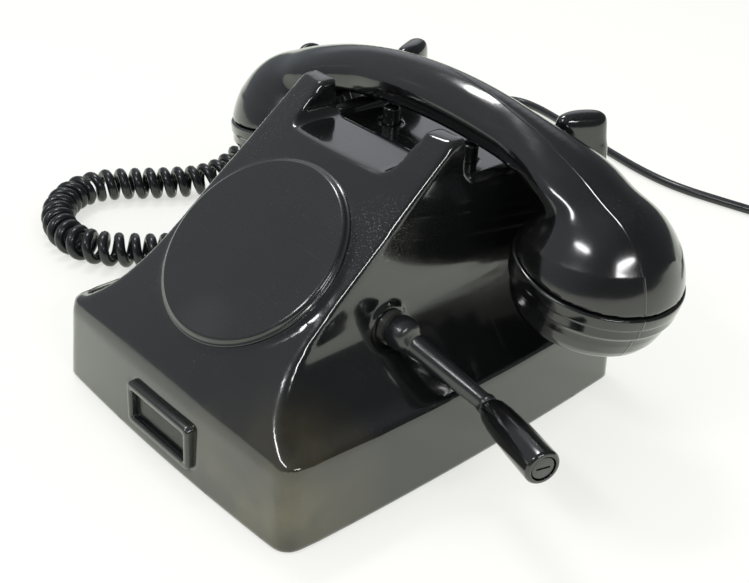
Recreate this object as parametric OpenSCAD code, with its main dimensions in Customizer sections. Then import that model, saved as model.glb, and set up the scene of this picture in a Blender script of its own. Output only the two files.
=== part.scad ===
// Hand-crank desk telephone: moulded housing, cradle handset, magneto, ringer and cords.
// Millimetres, Z up. The origin lies on the table under the middle of the housing.

/* [Housing] */
// Half width of the plinth at its corners
plinth_half_w = 70; // [64:0.5:76]
// Half depth of the plinth at its middle
plinth_half_d = 88.5; // [82:0.5:96]
// How far the plinth's sides bow out
plinth_bow = 2.4; // [1:0.1:5]
// Radius of the plinth's corners
plinth_corner_r = 10; // [7:0.5:14]
// How far the skirt widens down to the table, on each side
skirt_draft = 1.8; // [0.5:0.1:3]
// Height of the ledge at the sides
ledge_z = 34; // [31:0.5:37]
// Height of the front horns
body_top_z = 118.3; // [114:0.5:124]
// Half width of the body between the horns' outer faces, at the top
body_half_w = 42; // [39:0.5:45]
// Lean of the body's side walls, in degrees
side_lean = 3.2; // [2:0.1:5]
// Radius of the hollow between ledge and side wall
cove_r = 31; // [27:0.5:34]
// How far the rear ears stand out past the body's sides
ear_flare = 17.5; // [14:0.5:20]
// Slope of the front face, in degrees
front_slope = 39.5; // [36:0.5:43]
// Height of the front skirt's upper edge
front_edge_z = 31; // [29:0.5:33]
// Height where the front face has curved to its slope
front_blend_z = 58; // [56:0.5:61]
// How far the front skirt bows out at its middle
front_bow = 2.3; // [1:0.1:4]
// How far the front face falls away at its side ridges
front_crown = 4.2; // [2:0.2:6]
// Wall of the housing
wall_t = 3; // [2.4:0.1:4]

/* [Cradle] */
// Front of the trough that holds the handset
trough_front_y = 13; // [10:0.5:16]
// Rear of the trough, in front of the ears
trough_rear_y = 73.6; // [71:0.2:76]
// Height of the saddles that carry the handset
saddle_z = 100.5; // [99:0.1:102]
// Height of the well between the saddles
well_z = 96; // [94.5:0.1:97]
// Half width of the well between the saddles
well_half_w = 36; // [32:0.5:38]
// Half width of the notch between the front horns
notch_half_w = 28; // [22:0.5:31]
// Height of the notch's sill
notch_z = 104.7; // [103:0.1:108]
// Radius of the rear ears' tops towards the middle
ear_top_r = 9; // [7:0.5:11]
// Radius of the rear ears' outer top corners
ear_corner_r = 6; // [3:0.5:8]

/* [Dial blank] */
// Radius of the blanking disc
blank_r = 39.3; // [36:0.1:41]
// Height of the blanking disc over the front face
blank_h = 2.5; // [1.5:0.1:4]
// Height of the disc's centre over the table
blank_z = 74.7; // [72:0.1:77]

/* [Label holder] */
// Width of the label frame
label_w = 39.5; // [36:0.5:50]
// Height of the label frame
label_h = 18.6; // [15:0.2:22]
// Thickness of the label frame
label_t = 4; // [3.4:0.1:5]
// Width of the frame's border
label_border = 3; // [2:0.1:4]

/* [Handset] */
// Distance from the middle to each head
head_x = 85.4; // [82:0.2:88]
// Height of the joint between head and cap
head_z = 76.8; // [75:0.2:80]
// Place of the handset between front and rear
head_y = 44.3; // [43.5:0.1:45]
// Inward lean of the heads, in degrees
head_tilt = 9.8; // [6:0.2:12]
// Radius of a head at its joint
head_r = 31.2; // [29:0.1:32]
// Radius of a cap
cap_r = 32.8; // [31:0.1:33.4]
// Width of the handle at its middle
handle_w = 26; // [23:0.5:30]
// Height of the handle's crest at its middle
crest_z = 126; // [122:0.5:128]
// Radius of the crest's arch
crest_r = 218; // [205:1:260]
// Radius of the handle's lower arch
belly_r = 260; // [230:5:300]

/* [Crank and magneto] */
// Height of the crank's axis
crank_z = 56.5; // [55.5:0.5:57.5]
// Place of the crank's axis between front and rear
crank_y = -24; // [-26:0.5:-22]
// Reach of the crank arm from its axis to the knob
crank_reach = 25.7; // [24:0.1:26.5]
// How far the arm leans out from the hub to the knob
arm_lean = 32; // [29:0.5:34]
// Length of the knob
knob_l = 36; // [32:0.5:37]
// Radius of the knob's outer end
knob_r = 6.8; // [6:0.05:7.5]
// Radius of the crank shaft
shaft_r = 4; // [3:0.1:4.5]
// Tooth size of the gears, pitch diameter over teeth
gear_module = 0.7; // [0.6:0.05:0.7]
// Teeth of the crank's gear
gear_teeth = 60; // [50:1:60]
// Teeth of the armature's pinion
pinion_teeth = 12; // [10:1:14]
// Radius of the armature
armature_r = 9; // [8:0.1:9.5]

/* [Ringer] */
// Radius of a gong
gong_r = 19; // [16:0.2:19.2]
// Distance from the middle to each gong's centre
gong_x = 24; // [23.8:0.1:24.4]
// Place of the ringer between front and rear
ringer_y = 52; // [50:0.5:54]

/* [Cords] */
// Diameter of the handset cord
curl_cord_d = 4.9; // [4:0.1:5]
// Radius of the curls at the cord's middle
curl_r = 5.9; // [5:0.1:6]
// Distance from curl to curl
curl_pitch = 7.3; // [7.2:0.1:8]
// Diameter of the line cord
line_cord_d = 5; // [4:0.1:5.2]
// Turns of the put-away coil, in two layers
coil_turns = 6; // [4:2:8]

/* [Fits] */
// Gap around a piece that is fixed in another
fit_gap = 0.05; // [0.02:0.01:0.1]
// Gap around a shaft that turns or slides
run_gap = 0.06; // [0.03:0.01:0.1]
// Gap between pieces that rest on each other
rest_gap = 0.3; // [0.2:0.05:0.4]

/* [Hidden] */

bakelite = "#1c1d1e";
steel = "#9a9c9e";
brass = "#b39a5a";
copper = "#8a4a2c";
cord_black = "#151515";

// Housing outline
body_base_z = 1;
front_face_y = -49.5;
rear_lean = 0.045;
edge_soft = 3;
rear_top_y = 84.5;
rear_foot_y = plinth_half_d;
side_steps = 9;
corner_steps = 4;
ridge_r = 2.5;
rear_corner_r = 7;
slope_run = 1 / tan(front_slope);
front_edge_y = -plinth_half_d - skirt_draft * (1 - front_edge_z / ledge_z);
front_blend_y = front_face_y + (front_blend_z - blank_z) * slope_run;
front_power = slope_run * (front_blend_z - front_edge_z) / (front_blend_y - front_edge_y);
crown_full_z = 49;
cove_top_z = ledge_z + cove_r;
cavity_top_z = well_z - 4;
cove_levels = [for (k = [0.6, 2, 4, 7, 10.5, 15, 21]) ledge_z + k];
OUTER_LEVELS = concat([body_base_z, 16, front_edge_z, ledge_z - 0.6], cove_levels,
    [front_blend_z, cove_top_z, 80, 98, body_top_z - 5, body_top_z - 1.6, body_top_z]);
INNER_LEVELS = concat([body_base_z - 1, 14, front_edge_z - wall_t, ledge_z - wall_t - 0.6],
    [for (z = cove_levels) z - wall_t], [front_blend_z - wall_t, cove_top_z - wall_t, 80, cavity_top_z]);

// Base and fasteners
plate_z = 1.5;
plate_t = 2;
plate_top_z = plate_z + plate_t;
foot_r = 7;
foot_x = 44;
foot_y = 66;
post_x = plinth_half_w - 5.5;
post_y = plinth_half_d - 13.5;
post_r = 5;
post_top_z = ledge_z - 2;
screw_r = 1.5;
screw_head_r = 3;

// Dial blank
spigot_r = 33.6;
clamp_drop = 8.1;
clamp_t = 2;
clamp_l = 70;
clamp_w = 12;

// Label
label_z = 15.5;
label_seat_y = 0.9 - plinth_half_d - front_bow;
label_floor_t = 0.6;

// Cord entries
bush_face_y = plinth_half_d + 3.9;
bush_seat_y = plinth_half_d + 1.7;
bush_stem_l = 10.2;
bush_bore_z = 12;
handset_bush_x = -42;
bush_r = 6;
bush_stem_r = 4.2;

// Handset
crest_shape = 1.6;
side_shape = 0.75;
cap_drop = 25.5;
cap_inner_z = -20;
spigot_head_r = 28.4;
capsule_r = 26.2;
saddle_end_x = wall_x(saddle_z) + flare(head_y + handle_w / 4);
belly_z = saddle_z + rest_gap + arch_drop(saddle_end_x, belly_r);
relief_z = 84;
relief_turn = 135;
relief_from = 22;
relief_to = 49;
relief_r = 4.5;
relief_tip_r = 3.4;

// Crank
spot_x = 47.2;
crank_boss_r = 7.4;
crank_bush_r = 6.6;
crank_stem_r = 5.2;
hub_r = 6;
arm_r = 4.6;
arm_tip_r = 3;
arm_collar_r = 3.7;
hub_x = spot_x + 4.1;
hub_l = 7.5;
knob_yaw = -17.5;
arm_turn = -35.2;
arm_start = [hub_x + 3.6, crank_y + 1.6, crank_z - 2.6];
knob_point = [hub_x + 2.7 + arm_lean, crank_y - crank_reach * sin(arm_turn),
    crank_z - crank_reach * cos(arm_turn)];
spindle_r = 2.5;
shaft_in_x = 23.4;

// Magneto
gear_r = gear_module * gear_teeth / 2;
pinion_r = gear_module * pinion_teeth / 2;
armature_z = crank_z - gear_r - pinion_r;
mag_plate_x = 24;
mag_plate_t = 3;
gear_x = 34;
gear_t = 3.5;
armature_shaft_r = 3;
air_gap = 0.3;
pole_t = 4;
magnet_t = 7;
tie_r = 2;
tie_y = 16;
tie_z = 12;

// Ringer
coil_x = 11;
coil_r = 8;
core_r = 3.5;
yoke_t = 5.5;
coil_top_z = 40;
pole_top_z = 43;
rocker_z = 46;
rocker_t = 3;
pivot_z = rocker_z + rocker_t / 2;
gong_z = 65;
gong_h = 11;
gong_t = 1.4;
gong_post_r = 3;
hammer_z = 69;
hammer_r = 3.2;

// Hook switch
plunger_x = 22;
plunger_y = 38;
plunger_r = 3.5;
lever_z = cavity_top_z - 13.5;
lever_t = 2;
pin_y = 16;
pin_r = 1.5;
bracket_half_w = 31;

// Cord routes, at the cords' middles
CURL_ROUTE = [[-120.2, 79.2, 84], [-126, 84.8, 83.2], [-133.5, 90.5, 78.5], [-142, 94.5, 69.5], [-150, 95,
    57], [-156.5, 92, 43],
    [-161, 84, 30], [-164.5, 72.5, 19.5], [-166.5, 60, 12.2], [-170, 47, 9.2], [-176, 35, 8.6], [-182.6,
        23.5, 8.6],
    [-189.5, 12.5, 8.6], [-194.5, 1, 8.6], [-194.5, -12, 8.6], [-188, -24, 8.6], [-177, -33.5, 8.6],
    [-162, -39, 8.6], [-147, -38.5, 8.6], [-135.5, -32, 8.6], [-127, -23, 8.6], [-119, -12.5, 8.6],
    [-112, 2, 8.6], [-106, 20, 8.6], [-103, 40, 8.6], [-103, 60, 8.6], [-104, 80, 8.6], [-103, 100, 8.6],
    [-96, 121, 8.6], [-81, 134, 8.6], [-62, 134, 9], [-47, 122, 10.5], [-42, 106, 12], [-42, bush_face_y,
        bush_bore_z]];
LINE_ROUTE = [[0, bush_face_y, bush_bore_z], [0, 98, 12], [0, 106, 10.5], [-1, 116, 6.5], [-3, 127, 3.6],
    [-7, 138, 2.8],
    [-17, 155, 2.7], [-36, 176, 2.7], [-62, 196, 2.7], [-92, 213, 2.7], [-122, 229, 2.7], [-148, 243, 2.7],
    [-164, 255, 2.7], [-171, 269, 2.7], [-168, 283, 2.7], [-159, 291, 2.7], [-147, 293, 2.7], [-127, 290,
        2.7],
    [-98, 282, 2.7], [-70, 275.5, 2.7], [-49, 271, 2.7], [-30, 269, 2.7], [-13, 270, 2.7], [6, 274, 2.7],
    [30, 280, 2.7], [52, 284.5, 3], [70, 286, 3.4], [84, 286, 3.4]];
COIL_AT = [84, 322];
coil_r_out = 36;
coil_step = line_cord_d + 0.8;
coil_low_z = 3.4;
coil_high_z = coil_low_z + coil_step;
tail_l = 28;
plug_x = COIL_AT.x + tail_l;
plug_r = 9;

// General functions
function unit(v) = v / norm(v);
function arch_drop(x, r) = r - sqrt(r * r - x * x);
function mirrored(list) = concat(list, [for (i = [len(list) - 2 : -1 : 1]) [-list[i].x, list[i].y,
    list[i].z]]);
function spline_point(a, b, c, d, t) = 0.5 * (2 * b + (c - a) * t + (2 * a - 5 * b + 4 * c - d) * t * t
    + (3 * b - a - 3 * c + d) * t * t * t);
function spline(p, steps) = concat([for (i = [0 : len(p) - 2], k = [0 : steps - 1])
    spline_point(i > 0 ? p[i - 1] : 2 * p[0] - p[1], p[i], p[i + 1],
        i < len(p) - 2 ? p[i + 2] : 2 * p[i + 1] - p[i], k / steps)], [p[len(p) - 1]]);
function run_lengths(p) = [for (i = 0, s = 0; i < len(p); i = i + 1, s = i < len(p) ? s
    + norm(p[i] - p[i - 1]) : s) s];
function along(p, lengths, s) = [for (k = [0 : 2]) lookup(s, [for (i = [0 : len(p) - 1]) [lengths[i],
    p[i][k]]])];
function tangents(p) = [for (i = [0 : len(p) - 1]) unit(p[min(i + 1, len(p) - 1)] - p[max(i - 1, 0)])];
function carried(t, first) = [for (i = 0, n = first; i < len(t); i = i + 1,
    n = i < len(t) ? unit(n - (n * t[i]) * t[i]) : n) n];
function side_of(t) = unit(cross(t, abs(t.z) < 0.8 ? [0, 0, 1] : [1, 0, 0]));
function strip(rings, sides) = concat(
    [for (k = [1 : sides - 2]) [0, k, k + 1]],
    [for (i = [0 : rings - 2], k = [0 : sides - 1], half = [0, 1]) half == 0
        ? [i * sides + k, (i + 1) * sides + k, i * sides + (k + 1) % sides]
        : [i * sides + (k + 1) % sides, (i + 1) * sides + k, (i + 1) * sides + (k + 1) % sides]],
    [for (k = [1 : sides - 2]) [(rings - 1) * sides, (rings - 1) * sides + k + 1, (rings - 1) * sides + k]]);

// Cord tube along points
module tube(p, r, sides) {
    t = tangents(p);
    n = carried(t, side_of(t[0]));
    polyhedron([for (i = [0 : len(p) - 1], k = [0 : sides - 1])
        p[i] + r * (cos(-360 * k / sides) * n[i] + sin(-360 * k / sides) * cross(t[i], n[i]))],
        strip(len(p), sides), convexity = 10);
}

// Housing sections, level by level
function cove_out(z) = z >= cove_top_z ? 0 : cove_r - sqrt(max(0, pow(cove_r, 2) - pow(cove_top_z - z, 2)));
function top_inset(z) = z > body_top_z - 1.7 ? (z > body_top_z - 0.1 ? 1.5 : 0.3) : 0;
function wall_x(z) = body_half_w + (body_top_z - z) * tan(side_lean) + cove_out(z) - top_inset(z);
function flare(y) = ear_flare * pow(max(0, (y - 10) / (rear_top_y - 10)), 3);
function softer_min(a, b) = min(a, b) - pow(max(0, edge_soft - abs(a - b)), 2) / (4 * edge_soft);
function skirt_x(y, z) = plinth_half_w + plinth_bow * (1 - pow(y / plinth_half_d, 2))
    + skirt_draft * max(0, 1 - z / ledge_z);
function side_x(y, z) = z < ledge_z ? skirt_x(y, z) : softer_min(skirt_x(y, z), wall_x(z) + flare(y));
function face_y(z) = z < front_edge_z ? -plinth_half_d - skirt_draft * (1 - z / ledge_z)
    : z < front_blend_z ? front_edge_y + (front_blend_y - front_edge_y)
        * pow((z - front_edge_z) / (front_blend_z - front_edge_z), front_power)
    : front_face_y + (z - blank_z) * slope_run;
function face_share(z) = min(1, max(0, (z - front_edge_z) / (crown_full_z - front_edge_z)));
function crown_y(x, z) = front_crown * face_share(z) * pow(x / (body_half_w + 4), 2)
    * (z < cove_top_z ? pow((body_half_w + 4) / side_x(-plinth_half_d, z), 2) : 1)
    - front_bow * (1 - face_share(z)) * (1 - pow(x / plinth_half_w, 2));
function rear_y(z) = z < ledge_z ? rear_foot_y + skirt_draft * (1 - z / ledge_z)
    : max(rear_top_y, rear_foot_y - 0.6 - (z - ledge_z) * rear_lean) - top_inset(z);
function corner_r(z) = max(ridge_r, plinth_corner_r - max(0, z - ledge_z + 1) * 0.7);
function half_section(z, inset, lift) = let(
        zz = z + lift, rf = max(1, corner_r(zz) - inset / 2), rr = rear_corner_r,
        xf = side_x(face_y(zz), zz) - inset, yf = face_y(zz) + crown_y(xf - rf, zz) + inset,
        yr = rear_y(zz) - inset, xr = side_x(yr - rr, zz) - inset)
    concat(
        [for (k = [0 : 3]) let(x = (xf - rf) * k / 4) [x, face_y(zz) + crown_y(x, zz) + inset, z]],
        [for (k = [0 : corner_steps]) let(a = -90 + 90 * k / corner_steps)
            [xf - rf + rf * cos(a), yf + rf + rf * sin(a), z]],
        [for (k = [1 : side_steps]) let(y = yf + rf + (yr - rr - yf - rf) * k / (side_steps + 1))
            [side_x(y, zz) - inset, y, z]],
        [for (k = [0 : corner_steps]) let(a = 90 * k / corner_steps) [xr - rr + rr * cos(a), yr - rr
            + rr * sin(a), z]],
        [for (k = [1 : 3]) let(x = (xr - rr) * (1 - k / 3)) [x, yr, z]]);
function section(z, inset, lift) = mirrored(half_section(z, inset, lift));

module loft(levels, inset, lift) {
    rings = [for (z = levels) section(z, inset, lift)];
    n = len(rings[0]);
    polyhedron([for (ring = rings, p = ring) p], concat(
        [[for (k = [0 : n - 1]) k]],
        [for (i = [0 : len(levels) - 2], k = [0 : n - 1], half = [0, 1]) half == 0
            ? [i * n + k, (i + 1) * n + k, i * n + (k + 1) % n]
            : [i * n + (k + 1) % n, (i + 1) * n + k, (i + 1) * n + (k + 1) % n]],
        [[for (k = [n - 1 : -1 : 0]) (len(levels) - 1) * n + k]]), convexity = 10);
}

// Shared shapes
module on_front() {
    translate([0, front_face_y, blank_z]) rotate([front_slope, 0, 0]) children();
}
module along_x(x) {
    translate([x, 0, 0]) rotate([0, 90, 0]) children();
}
module along_y(y) {
    translate([0, y, 0]) rotate([-90, 0, 0]) children();
}
module rounded_square(w, h, r) {
    square([w - 2 * r, h], center = true);
    square([w, h - 2 * r], center = true);
    for (sx = [-1, 1], sy = [-1, 1]) translate([sx * (w / 2 - r), sy * (h / 2 - r)]) circle(r, $fn = 32);
}
module rod(r, l) {
    cylinder(r = r, h = l, $fn = 48);
}
module at_corners(x, y) {
    for (sx = [-1, 1], sy = [-1, 1]) translate([sx * x, sy * y, 0]) children();
}
module slotted_head(r, h) {
    difference() {
        cylinder(r = r, h = h, $fn = 32);
        translate([-r - 1, -0.4, h - 0.6]) cube([2 * r + 2, 0.8, 1]);
    }
}

// Housing
module trough_profile() {
    r = 8;
    translate([trough_front_y + r, well_z]) square([trough_rear_y - trough_front_y - 2 * r, 40]);
    translate([trough_front_y, well_z + r]) square([trough_rear_y - trough_front_y, 40]);
    for (y = [trough_front_y + r, trough_rear_y - r]) translate([y, well_z + r]) circle(r, $fn = 48);
}
module trough_cut() {
    intersection() {
        along_x(-well_half_w) rotate([0, 0, 90]) linear_extrude(2 * well_half_w) trough_profile();
        translate([-well_half_w, 0, 0]) cube([2 * well_half_w, 100, 200]);
    }
    translate([0, 0, saddle_z - well_z]) along_x(-80) rotate([0, 0, 90]) linear_extrude(160) trough_profile();
}
module notch_cut() {
    r = 5;
    translate([0, -40, 0]) rotate([90, 0, 0]) translate([0, 0, -40 - trough_front_y - 8])
        linear_extrude(48 + trough_front_y) {
        translate([-notch_half_w + r, notch_z]) square([2 * (notch_half_w - r), 40]);
        translate([-notch_half_w, notch_z + r]) square([2 * notch_half_w, 40]);
        for (sx = [-1, 1]) translate([sx * (notch_half_w - r), notch_z + r]) circle(r, $fn = 32);
    }
}
module ear_cut() {
    ear_inner_x = body_half_w - 1;
    ear_outer_x = body_half_w + 18.5;
    ear_peak = body_top_z - 2.5;
    ear_foot_z = saddle_z - 6;
    translate([0, 100, 0]) rotate([90, 0, 0]) linear_extrude(100 - trough_rear_y + 4) difference() {
        translate([-80, saddle_z - 1]) square([160, 40]);
        for (sx = [0, 1]) mirror([sx, 0]) hull() {
            translate([ear_inner_x + ear_top_r, ear_peak - ear_top_r]) circle(ear_top_r, $fn = 64);
            translate([ear_outer_x - ear_corner_r, ear_peak - ear_corner_r]) circle(ear_corner_r, $fn = 64);
            translate([ear_inner_x, ear_foot_z]) square([30, 5]);
        }
    }
}
module housing() {
    color(bakelite) difference() {
        union() {
            difference() {
                union() {
                    loft(OUTER_LEVELS, 0, 0);
                    on_front() translate([0, 0, -6]) cylinder(r = blank_r + 0.5, h = 6, $fn = 96);
                }
                loft(INNER_LEVELS, wall_t, wall_t);
            }
            at_corners(post_x, post_y) translate([0, 0, plate_top_z]) rod(post_r, post_top_z - plate_top_z);
            translate([0, crank_y, crank_z]) along_x(spot_x - 7) rod(crank_boss_r, 7);
        }
        at_corners(post_x, post_y) rod(screw_r + fit_gap, 16);
        on_front() translate([0, 0, -12]) cylinder(r = spigot_r, h = 14, $fn = 96);
        translate([0, crank_y, crank_z]) along_x(spot_x) rod(crank_bush_r + run_gap, 20);
        translate([0, crank_y, crank_z]) along_x(30) rod(crank_stem_r, 30);
        trough_cut();
        notch_cut();
        ear_cut();
        for (sx = [-1, 1]) translate([sx * plunger_x, plunger_y, well_z - 8]) rod(plunger_r + run_gap, 12);
        for (x = [0, handset_bush_x]) translate([x, 0, bush_bore_z]) along_y(bush_seat_y - 20)
            rod(bush_stem_r, 40);
        for (x = [0, handset_bush_x]) translate([x, 0, bush_bore_z]) along_y(bush_seat_y) rod(bush_r
            + 0.1, 10);
        translate([0, label_seat_y, label_z]) rotate([90, 0, 0]) linear_extrude(10)
            rounded_square(label_w + 2 * fit_gap, label_h + 2 * fit_gap, 2.5);
    }
}

// Base
module base_plate() {
    outline = [for (p = section(body_base_z, wall_t + rest_gap, 0)) [p.x, p.y]];
    color(steel) difference() {
        translate([0, 0, plate_z]) linear_extrude(plate_t) polygon(outline);
        at_corners(post_x, post_y) rod(screw_r + fit_gap, 10);
    }
}
module base_screws() {
    color(steel) at_corners(post_x, post_y) {
        translate([0, 0, plate_z]) rod(screw_r, 12);
        translate([0, 0, plate_z]) mirror([0, 0, 1]) slotted_head(screw_head_r, 1.1);
    }
}
module feet() {
    color("#202020") at_corners(foot_x, foot_y) cylinder(r = foot_r, h = plate_z, $fn = 48);
}

// Dial blank and its fixing
module dial_blank() {
    color(bakelite) on_front() {
        difference() {
            rotate_extrude($fn = 96) polygon([[0, -4], [spigot_r - fit_gap, -4], [spigot_r - fit_gap, 0],
                [blank_r, 0],
                [blank_r, 0.6], [blank_r - 1.2, 1], [blank_r - 1.4, blank_h - 0.7], [blank_r - 2.2,
                    blank_h], [0, blank_h]]);
            translate([0, 0, -5]) rod(screw_r + fit_gap, 5);
        }
    }
}
module dial_clamp() {
    color(steel) on_front() difference() {
        union() {
            translate([0, 0, -clamp_drop]) linear_extrude(clamp_t) difference() {
                rounded_square(clamp_l, clamp_w, 3);
                circle(screw_r + fit_gap, $fn = 32);
            }
            translate([0, 0, -clamp_drop + clamp_t]) cylinder(r = 5, h = clamp_drop - clamp_t - 4, $fn = 32);
        }
        translate([0, 0, -10]) rod(screw_r + fit_gap, 8);
    }
}
module dial_clamp_screw() {
    color(steel) on_front() {
        translate([0, 0, -clamp_drop]) rod(screw_r, clamp_drop - 0.5);
        translate([0, 0, -clamp_drop]) mirror([0, 0, 1]) slotted_head(screw_head_r, 2);
    }
}

// Label holder
module on_label(depth) {
    translate([0, label_seat_y - depth, label_z]) rotate([90, 0, 0]) children();
}
module label_frame() {
    window_w = label_w - 2 * label_border;
    window_h = label_h - 2 * label_border;
    color("#2a2c2b") on_label(0) difference() {
        union() {
            linear_extrude(label_t - 0.8) rounded_square(label_w, label_h, 2.4);
            linear_extrude(label_t) rounded_square(label_w - 1.2, label_h - 1.2, 2);
        }
        translate([0, 0, label_floor_t]) linear_extrude(label_t) rounded_square(window_w, window_h, 1);
    }
}
module label_card() {
    color("#a9ada8") on_label(label_floor_t) linear_extrude(0.4)
        rounded_square(label_w - 2 * label_border - 0.4, label_h - 2 * label_border - 0.4, 0.9);
}
module label_window() {
    color("#d8dcd8") on_label(label_floor_t + 0.4) linear_extrude(0.5)
        rounded_square(label_w - 2 * label_border - 0.4, label_h - 2 * label_border - 0.4, 0.9);
}

// Cord bushes
module cord_bush(x, bore_d) {
    color("#242424") translate([x, 0, bush_bore_z]) along_y(0) difference() {
        union() {
            translate([0, 0, bush_seat_y]) cylinder(r1 = bush_r, r2 = bush_r - 1.2,
                h = bush_face_y - bush_seat_y, $fn = 48);
            translate([0, 0, bush_seat_y - bush_stem_l]) rod(bush_stem_r - fit_gap, bush_stem_l);
            translate([0, 0, bush_seat_y - bush_stem_l]) rod(bush_r - 0.4, 3);
        }
        translate([0, 0, bush_seat_y - 20]) rod(bore_d / 2 + fit_gap, 19);
    }
}
module line_cord_bush() {
    cord_bush(0, line_cord_d - 1.6);
}
module handset_cord_bush() {
    cord_bush(handset_bush_x, curl_cord_d - 1.6);
}

// Crank
module crank_bush() {
    color(brass) translate([0, crank_y, crank_z]) difference() {
        union() {
            along_x(spot_x) rod(crank_bush_r, 2.6);
            along_x(spot_x - 7) rod(crank_stem_r - fit_gap, 7.2);
        }
        along_x(30) rod(shaft_r + run_gap, 30);
    }
}
module crank_shaft() {
    color(steel) translate([0, crank_y, crank_z]) {
        along_x(shaft_in_x) rod(shaft_r, hub_x + hub_l - 2 - shaft_in_x);
        along_x(mag_plate_x + mag_plate_t + 0.2) rod(shaft_r + 2, 2.5);
    }
}
module at_knob() {
    translate(knob_point) rotate([0, 0, knob_yaw]) rotate([0, 90, 0]) children();
}
module crank_arm() {
    reach = knob_point - arm_start;
    pitch = acos(reach.z / norm(reach));
    heading = atan2(reach.y, reach.x);
    color("#2b2b2b") difference() {
        union() {
            translate([0, crank_y, crank_z]) {
                along_x(hub_x) rod(hub_r, hub_l - 1.2);
                along_x(hub_x + hub_l - 1.2) cylinder(r1 = hub_r, r2 = hub_r - 1.6, h = 1.2, $fn = 48);
            }
            translate(arm_start) rotate([0, pitch, heading]) cylinder(r1 = arm_r, r2 = arm_tip_r,
                h = norm(reach), $fn = 48);
            at_knob() translate([0, 0, -5]) rod(arm_collar_r, 4.8);
        }
        translate([0, crank_y, crank_z]) along_x(hub_x - 1) rod(shaft_r + 0.01, hub_l - 1);
        at_knob() translate([0, 0, -3.5]) rod(spindle_r + 0.01, 8);
        at_knob() translate([0, 0, -0.2]) rod(9, 12);
    }
}
module knob_spindle() {
    color(steel) at_knob() {
        translate([0, 0, -3.5]) rod(spindle_r, knob_l + 1.9);
        translate([0, 0, knob_l - 1.9]) slotted_head(4.4, 1.5);
    }
}
module crank_knob() {
    color(bakelite) at_knob() difference() {
        rotate_extrude($fn = 64) polygon([[0, 0.1], [3.6, 0.1], [4.4, 0.8], [5.1, 2.6], [5.8, knob_l * 0.3],
            [6.4, knob_l * 0.55], [knob_r, knob_l * 0.85], [knob_r, knob_l - 1.2], [knob_r - 0.4,
                knob_l - 0.4],
            [knob_r - 1.2, knob_l], [0, knob_l]]);
        translate([0, 0, -1]) rod(spindle_r + run_gap, knob_l + 2);
        translate([0, 0, knob_l - 2.1]) cylinder(r = 4.9, h = 5, $fn = 48);
    }
}

// Gears
module gear_profile(teeth, pitch_r) {
    step = 360 / teeth;
    root = pitch_r - 1.1 * gear_module;
    tip = pitch_r + 0.8 * gear_module;
    polygon([for (i = [0 : teeth - 1], p = [[root, -0.3], [tip, -0.1], [tip, 0.1], [root, 0.3]])
        p[0] * [cos((i + p[1]) * step), sin((i + p[1]) * step)]]);
}
module drive_gear() {
    color(brass) translate([0, crank_y, crank_z]) difference() {
        union() {
            along_x(gear_x) linear_extrude(gear_t) gear_profile(gear_teeth, gear_r);
            along_x(mag_plate_x + mag_plate_t + 2.8) rod(shaft_r + 3,
                gear_x - mag_plate_x - mag_plate_t - 2.8);
        }
        along_x(20) rod(shaft_r + 0.01, 40);
    }
}
module armature_pinion() {
    color(steel) translate([0, crank_y, armature_z]) difference() {
        along_x(gear_x - 1) linear_extrude(gear_t + 2) rotate(180 / pinion_teeth)
            gear_profile(pinion_teeth, pinion_r);
        along_x(20) rod(1.8, 40);
    }
}

// Magneto
module magneto_end_plates() {
    color(steel) for (sx = [-1, 1]) difference() {
        translate([sx > 0 ? mag_plate_x : -mag_plate_x - mag_plate_t, crank_y, 0]) rotate([90, 0, 90])
            linear_extrude(mag_plate_t) {
            translate([-20, plate_top_z]) square([40, 46 - plate_top_z]);
            translate([-11, 46]) square([22, crank_z - 46]);
            translate([0, crank_z]) circle(11, $fn = 48);
        }
        translate([0, crank_y, crank_z]) along_x(-40) rod(shaft_r + run_gap, 80);
        translate([0, crank_y, armature_z]) along_x(-40) rod(armature_shaft_r + run_gap, 80);
        for (sy = [-1, 1]) translate([0, crank_y + sy * tie_y, tie_z]) along_x(-40) rod(tie_r + fit_gap, 80);
    }
}
module magneto_tie_bolts() {
    out = mag_plate_x + mag_plate_t;
    color(steel) for (sy = [-1, 1]) translate([0, crank_y + sy * tie_y, tie_z]) {
        along_x(-out) rod(tie_r, 2 * out);
        along_x(out) cylinder(r = 3.5, h = 2, $fn = 32);
        along_x(-out - 2) cylinder(r = 3.5, h = 2, $fn = 32);
    }
}
module magneto_pole_pieces() {
    bore = armature_r + air_gap;
    color(steel) difference() {
        for (sy = [-1, 1]) translate([-mag_plate_x, crank_y + (sy > 0 ? bore - 3 : -bore - pole_t),
            armature_z - 12])
            cube([2 * mag_plate_x, pole_t + 3, 24]);
        translate([0, crank_y, armature_z]) along_x(-40) rod(bore, 80);
    }
}
module magneto_magnets() {
    inner = armature_r + air_gap + pole_t;
    outer = inner + magnet_t;
    arch_z = 44;
    color("#3a3f45") for (x = [-22.5, -7, 8.5]) translate([x, crank_y, 0]) rotate([90, 0, 90])
        linear_extrude(14) difference() {
        union() {
            translate([-outer, 20]) square([2 * outer, arch_z - 20]);
            translate([0, arch_z]) circle(outer, $fn = 64);
        }
        translate([-inner, 10]) square([2 * inner, arch_z - 10]);
        translate([0, arch_z]) circle(inner, $fn = 64);
    }
}
module magneto_armature() {
    color(steel) translate([0, crank_y, armature_z]) {
        difference() {
            along_x(-22) rod(armature_r, 44);
            for (sz = [-1, 1]) translate([-23, -5, sz > 0 ? 3 : -13]) cube([46, 10, 10]);
        }
        along_x(-29) rod(armature_shaft_r, 61);
        along_x(31.9) rod(1.79, 8);
    }
}
module armature_winding() {
    color(copper) translate([0, crank_y, armature_z]) intersection() {
        along_x(-21) rod(armature_r - 1, 42);
        for (sz = [-1, 1]) translate([-21, -4.9, sz > 0 ? 3.1 : -13]) cube([42, 9.8, 9.9]);
    }
}

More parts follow.
